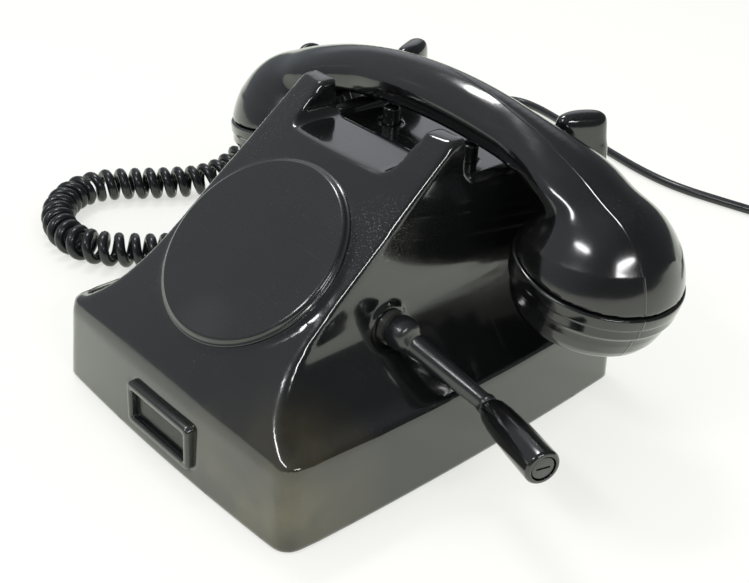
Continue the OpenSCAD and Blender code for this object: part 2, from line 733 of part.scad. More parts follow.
// Ringer
module ringer_yoke() {
    color(steel) {
        translate([-20, ringer_y - 8, plate_top_z]) cube([40, 16, yoke_t]);
        for (sx = [-1, 1]) translate([sx * coil_x, ringer_y, plate_top_z]) rod(core_r,
            pole_top_z - plate_top_z);
    }
}
module ringer_coils() {
    low = plate_top_z + yoke_t;
    color(copper) for (sx = [-1, 1]) translate([sx * coil_x, ringer_y, 0]) difference() {
        union() {
            translate([0, 0, low]) rod(coil_r, 1.5);
            translate([0, 0, low]) rod(coil_r - 1.2, coil_top_z - low);
            translate([0, 0, coil_top_z - 1.5]) rod(coil_r, 1.5);
        }
        rod(core_r + fit_gap, 60);
    }
}
module ringer_bracket() {
    color(steel) translate([-9, ringer_y + 8.2, plate_top_z]) difference() {
        cube([18, 3, pivot_z + 7 - plate_top_z]);
        translate([9, 0, pivot_z - plate_top_z]) along_y(-1) rod(pin_r + fit_gap, 6);
    }
}
module gong_posts() {
    color(steel) for (sx = [-1, 1]) translate([sx * gong_x, ringer_y, plate_top_z]) difference() {
        rod(gong_post_r, gong_z + gong_h - gong_t - plate_top_z);
        translate([0, 0, 50]) rod(screw_r + fit_gap, 30);
    }
}
module gong(x) {
    color(brass) translate([x, ringer_y, gong_z]) difference() {
        rotate_extrude($fn = 64) polygon([[screw_r + 0.1, gong_h], [gong_r * 0.42, gong_h],
            [gong_r * 0.76, gong_h * 0.8],
            [gong_r * 0.94, gong_h * 0.5], [gong_r, 0], [gong_r - gong_t, 0], [gong_r * 0.94 - gong_t,
                gong_h * 0.5 - 0.6],
            [gong_r * 0.76 - 1, gong_h * 0.8 - 1.2], [gong_r * 0.42 - 0.4, gong_h - gong_t], [screw_r
                + 0.1, gong_h - gong_t]]);
    }
}
module gong_left() {
    gong(-gong_x);
}
module gong_right() {
    gong(gong_x);
}
module gong_screws() {
    color(steel) for (sx = [-1, 1]) translate([sx * gong_x, ringer_y, gong_z + gong_h]) {
        slotted_head(3.5, 2);
        translate([0, 0, -8]) rod(screw_r, 8);
    }
}
module clapper() {
    color(brass) translate([0, ringer_y, 0]) difference() {
        union() {
            translate([-16, -5, rocker_z]) cube([32, 10, rocker_t]);
            translate([0, 0, rocker_z + rocker_t - 0.5]) rod(1, hammer_z - rocker_z - rocker_t);
            translate([0, 0, hammer_z]) sphere(hammer_r, $fn = 48);
        }
        translate([0, 0, pivot_z]) along_y(-10) rod(1 + run_gap, 20);
    }
}
module clapper_pivot() {
    color(steel) translate([0, ringer_y, pivot_z]) {
        along_y(-6) rod(1, 13);
        along_y(6.5) rod(pin_r, 4.7);
    }
}

// Fixed parts on the base plate
module induction_coil() {
    color(copper) translate([50, 18, plate_top_z + 11]) {
        along_y(3) rod(9, 34);
        for (y = [0, 37]) translate([-11, y, -11]) cube([22, 3, 22]);
    }
}
module capacitor() {
    color("#7c8084") translate([-60, -32, plate_top_z]) cube([18, 42, 26]);
}
module terminal_block() {
    color("#33302c") difference() {
        translate([-18, 66, plate_top_z]) cube([36, 12, 10]);
        for (x = [-12, -4, 4, 12]) translate([x, 72, plate_top_z + 4]) rod(screw_r + fit_gap, 10);
    }
}
module terminal_screws() {
    color(brass) for (x = [-12, -4, 4, 12]) translate([x, 72, plate_top_z + 10]) {
        slotted_head(2.8, 1.6);
        translate([0, 0, -5]) rod(screw_r, 5);
    }
}

// Hook switch
module cradle_plungers() {
    top = belly_z - arch_drop(plunger_x, belly_r) - rest_gap;
    color("#2f3031") for (sx = [-1, 1]) translate([sx * plunger_x, plunger_y, 0]) {
        translate([0, 0, lever_z + lever_t + 0.05]) rod(plunger_r, top - lever_z - lever_t - 0.05 - 1);
        translate([0, 0, top - 1]) cylinder(r1 = plunger_r, r2 = plunger_r - 1, h = 1, $fn = 48);
    }
}
module switch_bracket() {
    color(steel) difference() {
        union() {
            translate([-bracket_half_w, 4, cavity_top_z - 2]) cube([2 * bracket_half_w, 18, 2]);
            for (sx = [-1, 1]) translate([sx > 0 ? bracket_half_w - 2 : -bracket_half_w, 8, lever_z - 5])
                cube([2, 14, cavity_top_z - lever_z + 4]);
        }
        translate([0, pin_y, lever_z + lever_t / 2]) along_x(-40) rod(pin_r + fit_gap, 80);
    }
}
module hook_lever() {
    half = bracket_half_w - 2.4;
    color(steel) difference() {
        union() {
            translate([-half, pin_y, lever_z]) cube([2 * half, plunger_y + 5 - pin_y, lever_t]);
            translate([0, pin_y, lever_z + lever_t / 2]) along_x(-half) rod(3, 2 * half);
            translate([-3, 22, lever_z + lever_t]) cube([6, 3, 1]);
        }
        translate([0, pin_y, lever_z + lever_t / 2]) along_x(-40) rod(pin_r + run_gap, 80);
        translate([-18, pin_y - 6, lever_z - 4]) cube([36, 12, 10]);
    }
}
module lever_pin() {
    color(steel) translate([0, pin_y, lever_z + lever_t / 2]) along_x(-bracket_half_w - 1) rod(pin_r,
        2 * bracket_half_w + 2);
}
module lever_spring() {
    color(steel) translate([0, pin_y, lever_z + lever_t / 2]) difference() {
        along_x(-12) rod(2.4, 24);
        along_x(-40) rod(pin_r + fit_gap, 80);
    }
}
module contact_block() {
    color("#4a2f1c") translate([-8, 5, cavity_top_z - 10]) cube([16, 8, 8]);
}
module contact_springs() {
    color(brass) for (x = [-6, 1], z = [cavity_top_z - 8, cavity_top_z - 5]) translate([x, 13, z])
        cube([5, 17, 0.4]);
}

// Handset
function handle_width(x) = lookup(abs(x), [[40, handle_w], [52, handle_w + 5], [62, handle_w + 12],
    [72, handle_w + 16], [82, handle_w + 12], [92, handle_w + 2], [100, handle_w - 10], [107, 5]]);
function handle_section(x) = let(
        top = crest_z - arch_drop(x, crest_r), low = belly_z - arch_drop(x, belly_r),
        h = (top - low) / 2, mid = (top + low) / 2, w = handle_width(x) / 2, n = 16)
    [for (k = [0 : n - 1]) let(a = -90 + 360 * k / n, c = cos(a), s = sin(a))
        [x, head_y + w * c, mid + h * (s > 0 ? pow(1 - pow(abs(c), crest_shape),
            side_shape) : -pow(1 - pow(abs(c), 3), 1 / 3))]];
module handle_loft() {
    half = [12, 24, 36, 48, 58, 68, 78, 88, 98, 107];
    stations = concat([for (i = [len(half) - 1 : -1 : 0]) -half[i]], [0], half);
    polyhedron([for (x = stations, p = handle_section(x)) p], strip(len(stations), 16), convexity = 6);
}
module at_head(side) {
    translate([side * head_x, head_y, head_z]) rotate([0, side * head_tilt, 0]) children();
}
module relief_place() {
    translate([-head_x, head_y, relief_z]) rotate([0, 0, relief_turn]) rotate([0, 90, 0]) children();
}
module handset_handle() {
    color(bakelite) difference() {
        union() {
            handle_loft();
            for (side = [-1, 1]) at_head(side) rotate_extrude($fn = 72) polygon([[0, 0], [head_r + 0.6, 0],
                [head_r + 0.6, 1.2], [head_r - 0.2, 4], [head_r - 1.3, 7], [head_r - 2.7, 10],
                    [head_r - 4.4, 13],
                [head_r - 6.2, 16], [head_r - 8.6, 19], [head_r - 11.8, 22], [head_r - 15.6, 25],
                    [head_r - 21, 27.6],
                [0, 29.2]]);
            for (side = [-1, 1]) at_head(side) translate([0, 0, -8]) rod(spigot_head_r, 8.1);
        }
        for (side = [-1, 1]) at_head(side) translate([0, 0, -9]) rod(capsule_r + 0.3, 17);
        relief_place() translate([0, 0, relief_from]) rod(relief_r, 30);
    }
}
module head_cap(side) {
    at_head(side) difference() {
        rotate_extrude($fn = 96) polygon([[0, -cap_drop], [12, -cap_drop + 0.2], [20, -cap_drop + 0.9],
            [25, -cap_drop + 2.3], [28, -cap_drop + 4.5], [cap_r - 3.2, -18], [cap_r - 2.2, -14],
                [cap_r - 1.8, -10.6],
            [cap_r - 0.7, -9.6], [cap_r - 0.4, -8.8], [cap_r - 0.6, -5.4], [cap_r, -4.8], [cap_r, -0.9],
            [cap_r - 0.6, -rest_gap], [0, -rest_gap]]);
        translate([0, 0, -8.1]) rod(spigot_head_r + fit_gap, 9);
        translate([0, 0, cap_inner_z]) rod(capsule_r - 1.2, -cap_inner_z - 7);
        for (k = [0 : 5]) rotate(60 * k) translate([9, 0, -cap_drop - 1]) rod(1.5, 9);
        translate([0, 0, -cap_drop - 1]) rod(1.5, 9);
    }
}
module earpiece_cap() {
    color(bakelite) head_cap(1);
}
module mouthpiece_cap() {
    color(bakelite) head_cap(-1);
}
module capsule(side, r_front) {
    at_head(side) {
        translate([0, 0, -7.9]) rod(capsule_r, 10);
        translate([0, 0, 2]) rod(r_front, 3);
        translate([0, 0, -9]) rod(r_front, 1.2);
    }
}
module receiver_capsule() {
    color(steel) capsule(1, 18);
}
module transmitter_capsule() {
    color(brass) capsule(-1, 22);
}
module handset_cord_relief() {
    color("#242424") relief_place() difference() {
        union() {
            translate([0, 0, relief_from]) rod(relief_r - fit_gap, 8);
            translate([0, 0, relief_from + 8]) cylinder(r1 = relief_r - fit_gap, r2 = relief_tip_r,
                h = relief_to - relief_from - 8, $fn = 48);
        }
        translate([0, 0, relief_from - 1]) rod(1.4, relief_to - relief_from - 3);
    }
}

// Handset cord
module handset_cord() {
    path = spline(CURL_ROUTE, 6);
    lengths = run_lengths(path);
    total = lengths[len(lengths) - 1];
    straight = curl_cord_d + 0.6;
    ramp = 11;
    curls = floor((total - 2 * straight) / curl_pitch);
    rings = 8 * curls;
    s = concat([0.05], [for (i = [0 : rings]) straight + (total - 2 * straight) * i / rings], [total - 0.05]);
    axis = [for (v = s) along(path, lengths, v)];
    t = tangents(axis);
    n = carried(t, side_of(t[0]));
    wound = [for (i = [0 : len(s) - 1]) let(
            grow = max(0, min(1, (s[i] - straight) / ramp, (total - straight - s[i]) / ramp)),
            a = 45 * i) axis[i] + curl_r * grow * (cos(a) * n[i] + sin(a) * cross(t[i], n[i]))];
    run = run_lengths(wound);
    gaps = [for (i = [0 : len(wound) - 7], j = [i + 4 : min(i + 18, len(wound) - 1)])
        if (run[j] - run[i] > 3 * curl_cord_d) norm(wound[i] - wound[j])];
    echo("handset cord curls", curls, "least gap", min(gaps) - curl_cord_d, "lowest", min([for (p = wound)
        p.z]) - curl_cord_d / 2,
        "length", sum_of([for (i = [1 : len(wound) - 1]) norm(wound[i] - wound[i - 1])]));
    color(cord_black) tube(wound, curl_cord_d / 2, 6);
}
function sum_of(list) = list * [for (v = list) 1];

// Line cord, its coil, tie and plug
module line_cord() {
    path = spline(LINE_ROUTE, 6);
    lengths = run_lengths(path);
    total = lengths[len(lengths) - 1];
    rings = ceil(total / (2.4 * line_cord_d));
    points = [for (i = [0 : rings]) along(path, lengths, total * i / rings)];
    echo("line cord length", total, "rings", rings + 1);
    color(cord_black) tube(points, line_cord_d / 2, 8);
}
function coil_point(turn) = let(
        half = coil_turns / 2, a = -90 + 360 * turn,
        r = coil_r_out - coil_step * (turn < half ? turn : coil_turns - turn),
        climb = min(1, max(0, (turn - half + 0.25) / 0.5)))
    [COIL_AT.x + r * cos(a), COIL_AT.y + r * sin(a), coil_low_z + (coil_high_z - coil_low_z) * climb];
module line_cord_coil() {
    steps = 24;
    turns = [for (i = [1 : steps * coil_turns - 1]) coil_point(i / steps)];
    points = concat([coil_point(0), coil_point(0) + [line_cord_d / 2, 0, 0]], turns,
        [for (k = [0 : 4]) [COIL_AT.x + tail_l * k / 4, COIL_AT.y - coil_r_out, coil_high_z]]);
    gaps = [for (i = [0 : len(points) - 13], j = [i + 12 : len(points) - 1]) norm(points[i] - points[j])];
    echo("line coil least gap", min(gaps) - line_cord_d,
        "length", sum_of([for (i = [1 : len(points) - 1]) norm(points[i] - points[i - 1])]));
    color(cord_black) tube(points, line_cord_d / 2, 6);
}
module coil_tie() {
    inner_w = coil_step * (coil_turns / 2) + line_cord_d + 1;
    inner_h = coil_step + line_cord_d + 0.6;
    mid_r = coil_r_out - coil_step * (coil_turns / 2) / 2;
    translate([COIL_AT.x, COIL_AT.y + mid_r, (coil_low_z + coil_high_z) / 2]) color("#2a2a2a")
        rotate([90, 0, 90]) translate([0, 0, -4]) linear_extrude(8) difference() {
            rounded_square(inner_w + 1.2, inner_h + 1.2, 3);
            rounded_square(inner_w, inner_h, 2.4);
        }
}
module line_plug() {
    color("#1d1c1b") translate([0, COIL_AT.y - coil_r_out, coil_high_z]) {
        along_x(plug_x) rotate_extrude($fn = 64) polygon([[0, 0], [4, 0], [4.6, 1], [5.4, 6],
            [plug_r - 0.6, 9],
            [plug_r, 11], [plug_r, 25], [plug_r - 1, 26], [0, 26]]);
        for (k = [0 : 2]) rotate([120 * k, 0, 0]) translate([0, 0, 5]) along_x(plug_x + 26) rod(1.6, 12);
    }
}

housing();
base_plate();
base_screws();
feet();
dial_blank();
dial_clamp();
dial_clamp_screw();
label_frame();
label_card();
label_window();
line_cord_bush();
handset_cord_bush();
crank_bush();
crank_shaft();
crank_arm();
knob_spindle();
crank_knob();
drive_gear();
magneto_end_plates();
magneto_tie_bolts();
magneto_pole_pieces();
magneto_magnets();
magneto_armature();
armature_winding();
armature_pinion();
ringer_yoke();
ringer_coils();
ringer_bracket();
gong_posts();
gong_left();
gong_right();
gong_screws();
clapper();
clapper_pivot();
induction_coil();
capacitor();
terminal_block();
terminal_screws();
cradle_plungers();
switch_bracket();
hook_lever();
lever_pin();
lever_spring();
contact_block();
contact_springs();
handset_handle();
earpiece_cap();
mouthpiece_cap();
receiver_capsule();
transmitter_capsule();
handset_cord_relief();
handset_cord();
line_cord();
line_cord_coil();
coil_tie();
line_plug();
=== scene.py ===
"""Hand-crank desk telephone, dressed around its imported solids.

Everything is worked out in millimetres, in the frame of the solids, and made metres when a piece is finished.
"""
import math

import bmesh
import bpy
from mathutils import Matrix, Vector


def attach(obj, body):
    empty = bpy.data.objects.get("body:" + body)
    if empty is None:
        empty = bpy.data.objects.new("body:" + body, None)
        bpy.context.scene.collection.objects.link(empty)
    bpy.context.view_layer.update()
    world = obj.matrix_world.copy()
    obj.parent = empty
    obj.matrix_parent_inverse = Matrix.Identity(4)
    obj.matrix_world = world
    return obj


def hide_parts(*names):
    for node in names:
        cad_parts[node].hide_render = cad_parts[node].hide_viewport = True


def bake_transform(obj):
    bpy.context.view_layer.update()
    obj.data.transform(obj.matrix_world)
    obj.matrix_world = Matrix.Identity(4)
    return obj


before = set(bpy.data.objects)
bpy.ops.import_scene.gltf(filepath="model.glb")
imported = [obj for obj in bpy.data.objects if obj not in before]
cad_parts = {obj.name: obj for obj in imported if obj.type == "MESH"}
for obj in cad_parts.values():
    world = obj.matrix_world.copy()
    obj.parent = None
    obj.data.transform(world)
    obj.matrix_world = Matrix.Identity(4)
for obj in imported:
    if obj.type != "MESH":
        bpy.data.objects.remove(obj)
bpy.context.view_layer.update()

MM = 0.001
X_AXIS = Vector((1, 0, 0))
Z_AXIS = Vector((0, 0, 1))


# ---------------------------------------------------------------- materials

def linear(code):
    """An sRGB hex colour as linear red, green, blue, alpha."""
    parts = [int(code[i:i + 2], 16) / 255 for i in (1, 3, 5)]
    return [c / 12.92 if c <= 0.04045 else ((c + 0.055) / 1.055) ** 2.4 for c in parts] + [1.0]


def add(tree, kind, settings=None, links=None, stops=()):
    """A node with its settings and links. A lower-case setting is the node's own, any other is a socket's. The
    stops are those of a colour ramp, given as (place, colour)."""
    made = tree.nodes.new(kind)
    for key, value in (settings or {}).items():
        if isinstance(key, str) and key[0].islower():
            setattr(made, key, value)
        else:
            made.inputs[key].default_value = value
    for key, source in (links or {}).items():
        tree.links.new(source, made.inputs[key])
    for place, _ in stops[1:-1]:
        made.color_ramp.elements.new(place)
    for k, (place, colour) in enumerate(stops):
        made.color_ramp.elements[k].position = place
        made.color_ramp.elements[k].color = colour
    return made


def grey(level):
    return (level, level, level, 1)


def black_to_white(low, high):
    return [(low, grey(0)), (high, grey(1))]


def blank_material(name, **sockets):
    """A new material, its tree, its shader with the plain values set, and its Object coordinates."""
    made = bpy.data.materials.new(name)
    made.use_nodes = True
    tree = made.node_tree
    shader = tree.nodes["Principled BSDF"]
    for key, value in sockets.items():
        shader.inputs[key.replace("_", " ")].default_value = value
    place = add(tree, "ShaderNodeTexCoord").outputs["Object"]
    return made, tree, shader, place


def moulded(name, colour, pale, rough, dust, grain=0.012, skin=0.05, seam_plane=None, scuffed=None,
            painted_reflection=None):
    """A moulded and polished plastic: a deep even colour under a gloss skin, a faint waviness left by the
    mould, hairlines from wiping, pale worn edges, dust that dulls what faces up, and where the two halves of
    the mould met, in an upright plane given as (x, y, distance) in metres, a line 0.5 mm wide. A scuffed
    place holds pale rubbed specks, and at the second place given a brown reflection is painted into the colour
    in patches."""
    made, tree, shader, place = blank_material(
        name, IOR=1.6, Coat_Weight=0.8, Coat_Roughness=skin, Coat_IOR=1.5)
    # Tone drifts over 18 mm, dust specks are 0.5 mm, drawn coarser than real dust so that they show, they lie
    # in patches of 26 mm, and the mould's waviness is 6 mm long.
    cloud, specks, patches, wave = (
        add(tree, "ShaderNodeTexNoise", {"Scale": scale, "Detail": detail, "Roughness": fall},
            {"Vector": place}).outputs["Fac"]
        for scale, detail, fall in ((55.0, 3.0, 0.5), (1900.0, 2.0, 0.7), (38.0, 4.0, 0.5), (160.0, 2.0, 0.5)))
    # Hairlines are about 1 mm wide and 14 mm long, drawn coarser than real ones so that they show.
    hair_place = add(tree, "ShaderNodeMapping", {"Scale": (70.0, 900.0, 900.0), "Rotation": (0.3, 0.5, 0.9)},
                     {"Vector": place}).outputs[0]
    hairs = add(tree, "ShaderNodeTexNoise", {"Scale": 1.0, "Detail": 2.0},
                {"Vector": hair_place}).outputs["Fac"]
    geometry = add(tree, "ShaderNodeNewGeometry")
    facing = add(tree, "ShaderNodeSeparateXYZ", links={0: geometry.outputs["Normal"]}).outputs["Z"]
    speck_mask, patch_mask, up, worn, hair_mask = (
        add(tree, "ShaderNodeValToRGB", {}, {"Fac": source}, black_to_white(low, high)).outputs["Color"]
        for source, low, high in ((specks, 0.655, 0.72), (patches, 0.47, 0.7), (facing, 0.3, 0.9),
                                  (geometry.outputs["Pointiness"], 0.53, 0.6), (hairs, 0.6, 0.78)))
    settled = speck_mask
    for mask in (patch_mask, up):
        settled = add(tree, "ShaderNodeMath", {"operation": "MULTIPLY"}, {0: settled, 1: mask}).outputs[0]
    settled = add(tree, "ShaderNodeMath", {"operation": "MULTIPLY", 1: dust}, {0: settled}).outputs[0]
    edged = add(tree, "ShaderNodeMath", {"operation": "MULTIPLY", 1: 0.25}, {0: worn}).outputs[0]
    marks = [(edged, "#5c5a55"), (settled, "#8d8a82")]
    # The scuffed place gets pale rubbed specks; the second place gets a painted brown reflection in patches.
    for centre, reach, tint, noise, low, high, share in (
            (scuffed, 0.024, "#a3a5a2", specks, 0.62, 0.69, 0.55),
            (painted_reflection, 0.060, "#4e4830", patches, 0.3, 0.6, 0.9)):
        if centre:
            far = add(tree, "ShaderNodeVectorMath", {"operation": "DISTANCE", 1: centre},
                      {0: place}).outputs["Value"]
            far = add(tree, "ShaderNodeMath", {"operation": "DIVIDE", 1: reach}, {0: far}).outputs[0]
            near = add(tree, "ShaderNodeValToRGB", {}, {"Fac": far},
                       [(0.15, grey(share)), (0.85, grey(0))]).outputs["Color"]
            grains = add(tree, "ShaderNodeValToRGB", {}, {"Fac": noise},
                         black_to_white(low, high)).outputs["Color"]
            mask = add(tree, "ShaderNodeMath", {"operation": "MULTIPLY"}, {0: near, 1: grains}).outputs[0]
            marks.append((mask, tint))
    base = add(tree, "ShaderNodeMix", {"data_type": "RGBA", 6: linear(colour), 7: linear(pale)},
               {0: cloud}).outputs[2]
    for mask, tint in marks:
        base = add(tree, "ShaderNodeMix", {"data_type": "RGBA", 7: linear(tint)}, {0: mask, 6: base}).outputs[2]
    tree.links.new(base, shader.inputs["Base Color"])
    dull = add(tree, "ShaderNodeMath", {"operation": "MULTIPLY_ADD", 1: 0.1, 2: rough}, {0: cloud}).outputs[0]
    for amount, mask in ((0.1, hair_mask), (0.5, settled)):
        dull = add(tree, "ShaderNodeMath", {"operation": "MULTIPLY_ADD", 1: amount},
                   {0: mask, 2: dull}).outputs[0]
    tree.links.new(dull, shader.inputs["Roughness"])
    bump = add(tree, "ShaderNodeBump", {"Strength": grain, "Distance": 0.002}, {"Height": wave}).outputs[0]
    bump = add(tree, "ShaderNodeBump", {"Strength": 0.25, "Distance": 0.00006},
               {"Height": settled, "Normal": bump}).outputs[0]
    if seam_plane:
        across_seam = add(tree, "ShaderNodeVectorMath", {"operation": "DOT_PRODUCT", 1: (*seam_plane[:2], 0)},
                          {0: place}).outputs["Value"]
        off_seam = add(tree, "ShaderNodeMath", {"operation": "SUBTRACT", 1: seam_plane[2]},
                       {0: across_seam}).outputs[0]
        off_seam = add(tree, "ShaderNodeMath", {"operation": "ABSOLUTE"}, {0: off_seam}).outputs[0]
        off_seam = add(tree, "ShaderNodeMath", {"operation": "MULTIPLY", 1: 1000.0}, {0: off_seam}).outputs[0]
        seam = add(tree, "ShaderNodeValToRGB", {}, {"Fac": off_seam},
                   [(0.15, grey(1)), (0.5, grey(0))]).outputs["Color"]
        bump = add(tree, "ShaderNodeBump", {"Strength": 0.8, "Distance": 0.0003},
                   {"Height": seam, "Normal": bump}).outputs[0]
        tree.links.new(bump, shader.inputs["Coat Normal"])
    tree.links.new(bump, shader.inputs["Normal"])
    return made


def metal(name, colour, shade, rough, streak=(60.0, 60.0, 900.0)):
    """A bare worked metal: fine tool marks along one way, drifting tone, and a slight tarnish in patches of
    11 mm."""
    made, tree, shader, place = blank_material(name, Metallic=1.0)
    marks_place = add(tree, "ShaderNodeMapping", {"Scale": streak}, {"Vector": place}).outputs[0]
    marks = add(tree, "ShaderNodeTexNoise", {"Scale": 12.0, "Detail": 3.0},
                {"Vector": marks_place}).outputs["Fac"]
    tarnish = add(tree, "ShaderNodeTexNoise", {"Scale": 90.0, "Detail": 5.0},
                  {"Vector": place}).outputs["Fac"]
    mask = add(tree, "ShaderNodeValToRGB", {}, {"Fac": tarnish}, black_to_white(0.4, 0.7)).outputs["Color"]
    tone = add(tree, "ShaderNodeMix", {"data_type": "RGBA", 6: linear(colour), 7: linear(shade)},
               {0: mask}).outputs[2]
    tree.links.new(tone, shader.inputs["Base Color"])
    dull = add(tree, "ShaderNodeMath", {"operation": "MULTIPLY_ADD", 1: 0.18, 2: rough},
               {0: marks}).outputs[0]
    tree.links.new(dull, shader.inputs["Roughness"])
    bump = add(tree, "ShaderNodeBump", {"Strength": 0.05, "Distance": 0.0002}, {"Height": marks}).outputs[0]
    tree.links.new(bump, shader.inputs["Normal"])
    return made


def matte(name, colour, shade, rough, scale, grain, **sockets):
    """An unpolished surface: two near tones in a cloudy mix, and a fine even grain of 1000 / scale in mm."""
    made, tree, shader, place = blank_material(name, **sockets)
    cloud = add(tree, "ShaderNodeTexNoise", {"Scale": scale / 8, "Detail": 4.0},
                {"Vector": place}).outputs["Fac"]
    tone = add(tree, "ShaderNodeMix", {"data_type": "RGBA", 6: linear(colour), 7: linear(shade)},
               {0: cloud}).outputs[2]
    tree.links.new(tone, shader.inputs["Base Color"])
    dull = add(tree, "ShaderNodeMath", {"operation": "MULTIPLY_ADD", 1: 0.15, 2: rough},
               {0: cloud}).outputs[0]
    tree.links.new(dull, shader.inputs["Roughness"])
    fine = add(tree, "ShaderNodeTexNoise", {"Scale": scale, "Detail": 2.0}, {"Vector": place}).outputs["Fac"]
    bump = add(tree, "ShaderNodeBump", {"Strength": grain, "Distance": 0.0002}, {"Height": fine}).outputs[0]
    tree.links.new(bump, shader.inputs["Normal"])
    return made


def wound_wire():
    """Enamelled copper wire in neat layers: 0.4 mm turns round the coil, with the enamel's brown gloss."""
    made, tree, shader, place = blank_material("enamelled_copper_winding", Metallic=0.6, Coat_Weight=0.4,
                                               Roughness=0.35)
    turns = add(tree, "ShaderNodeTexWave", {"wave_type": "BANDS", "bands_direction": "Z", "Scale": 400.0},
                {"Vector": place}).outputs["Fac"]
    tone = add(tree, "ShaderNodeMix", {"data_type": "RGBA", 6: linear("#4a1f12"), 7: linear("#a4552c")},
               {0: turns}).outputs[2]
    tree.links.new(tone, shader.inputs["Base Color"])
    bump = add(tree, "ShaderNodeBump", {"Strength": 0.5, "Distance": 0.0002}, {"Height": turns}).outputs[0]
    tree.links.new(bump, shader.inputs["Normal"])
    return made


# Black phenolic moulding, polished: a deep gloss that mirrors the room.
# The second place given to it paints a brown reflection in patches, low on the front right corner of the skirt.
BODY = moulded("polished_phenolic_body", "#0b0c0c", "#101111", 0.1, 0.9,
               scuffed=(0.041, -0.026, 0.090), painted_reflection=(0.062, -0.092, 0.010))
# The blank over the dial opening, the same moulding less polished, so a shade greyer.
BLANK = moulded("satin_phenolic_blank", "#0c0e0e", "#101212", 0.2, 0.35, 0.008)
# The handset's moulding, handled daily, so the smoothest and cleanest.
HANDSET = moulded("handled_phenolic", "#0a0a0b", "#0f0f10", 0.12, 0.4, 0.015, 0.09, (0.1, 1.0, 0.0443))
# Black stoving lacquer on steel: gloss with a slight orange peel.
LACQUER = moulded("black_stoving_lacquer", "#0f1113", "#15171a", 0.3, 0.3, 0.05, 0.17)
# Grey-black enamel on the pressed label frame: a softer gloss, a little paler than the moulding.
ENAMEL = moulded("grey_black_enamel", "#151716", "#1c1f1d", 0.2, 0.3, 0.03)
# Bare metals inside, each with the marks of its making: turned, ground, plated or drawn.
STEEL = metal("machined_steel", "#b4b6b8", "#85878a", 0.28)
ZINC = metal("zinc_plated_steel", "#a8abad", "#7d8286", 0.38, (40.0, 300.0, 40.0))
BRASS = metal("turned_brass", "#b89a52", "#7c6330", 0.24)
MAGNET = metal("hardened_magnet_steel", "#4c5157", "#33373c", 0.45)
CAN = metal("drawn_aluminium_can", "#aeb1b3", "#8b8f92", 0.3)
WINDING = wound_wire()
# Pressed board: dull brown, faintly fibrous.
FIBRE = matte("pressed_fibre_board", "#3b2418", "#4c3020", 0.7, 1500.0, 0.3)
# Blank card behind the label window, aged grey.
CARD = matte("aged_label_card", "#8f928c", "#7c8079", 0.75, 2500.0, 0.15)
# Moulded rubber: charcoal, dull, slightly bloomed.
RUBBER = matte("moulded_rubber", "#161616", "#202120", 0.5, 1800.0, 0.2)
# Cord sheath: smooth black rubber with a soft shine and a bluish cast.
SHEATH = matte("cord_sheath_rubber", "#0d0e11", "#17191d", 0.24, 1400.0, 0.12, Coat_Weight=0.35,
               Coat_Roughness=0.15)
# Clear celluloid over the card, slightly yellowed and rubbed.
CLEAR = matte("clear_celluloid", "#e8e6da", "#dcdac8", 0.12, 600.0, 0.05, Transmission_Weight=1.0, IOR=1.49)


# ------------------------------------------------------------ making pieces

def finish_piece(bm, name, material, body, replaces, sharp=38, weld=0.002):
    """The bmesh, in millimetres, as a finished piece in metres, with its material and body, and the solids it
    replaces hidden.
    """
    bmesh.ops.remove_doubles(bm, verts=bm.verts, dist=weld)
    bmesh.ops.recalc_face_normals(bm, faces=bm.faces)
    bmesh.ops.scale(bm, verts=bm.verts, vec=(MM, MM, MM))
    mesh = bpy.data.meshes.new(name)
    bm.to_mesh(mesh)
    bm.free()
    mesh.polygons.foreach_set("use_smooth", [True] * len(mesh.polygons))
    mesh.set_sharp_from_angle(angle=math.radians(sharp))
    mesh.materials.append(material)
    piece = bpy.data.objects.new(name, mesh)
    bpy.context.collection.objects.link(piece)
    if body:
        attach(piece, body)
    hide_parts(*replaces)
    return piece


def extruded_rings(rings):
    """A closed skin over rings of points: the first is drawn, and each next one extruded from it and moved."""
    bm = bmesh.new()
    verts = [bm.verts.new(p) for p in rings[0]]
    count = len(verts)
    edges = [bm.edges.new((verts[i], verts[(i + 1) % count])) for i in range(count)]
    first = list(edges)
    for ring in rings[1:]:
        order = {v: i for i, v in enumerate(verts)}
        made = bmesh.ops.extrude_edge_only(bm, edges=edges)["geom"]
        edges = [g for g in made if isinstance(g, bmesh.types.BMEdge)]
        fresh = {g for g in made if isinstance(g, bmesh.types.BMVert)}
        moved = [None] * count
        for v in fresh:
            for e in v.link_edges:
                other = e.other_vert(v)
                if other in order:
                    moved[order[other]] = v
        for v, p in zip(moved, ring):
            v.co = p
        verts = moved
    bmesh.ops.edgeloop_fill(bm, edges=first)
    bmesh.ops.edgeloop_fill(bm, edges=edges)
    return bm


def eased(points, radius, steps=4):
    """A polyline with its inner corners rounded to a radius, or less where the sides are short."""
    out = [Vector(points[0])]
    for a, b, c in zip(points, points[1:], points[2:]):
        a, b, c = Vector(a), Vector(b), Vector(c)
        reach = min(radius, (a - b).length * 0.45, (c - b).length * 0.45)
        start, end = b + (a - b).normalized() * reach, b + (c - b).normalized() * reach
        for k in range(steps + 1):
            t = k / steps
            out.append(start.lerp(b, t).lerp(b.lerp(end, t), t))
    out.append(Vector(points[-1]))
    return out


def turned(profile, place, steps):
    """A profile of (radius, height) turned about its own Z, then set in place."""
    bm = bmesh.new()
    verts = [bm.verts.new((p[0], 0, p[1])) for p in profile]
    edges = [bm.edges.new(pair) for pair in zip(verts, verts[1:])]
    bmesh.ops.spin(bm, geom=verts + edges, cent=(0, 0, 0), axis=(0, 0, 1), dvec=(0, 0, 0),
                   angle=math.tau, steps=steps, use_merge=True, use_duplicate=False)
    bmesh.ops.remove_doubles(bm, verts=bm.verts, dist=0.0005)
    bmesh.ops.recalc_face_normals(bm, faces=bm.faces)
    bmesh.ops.transform(bm, matrix=place, verts=bm.verts)
    return bm


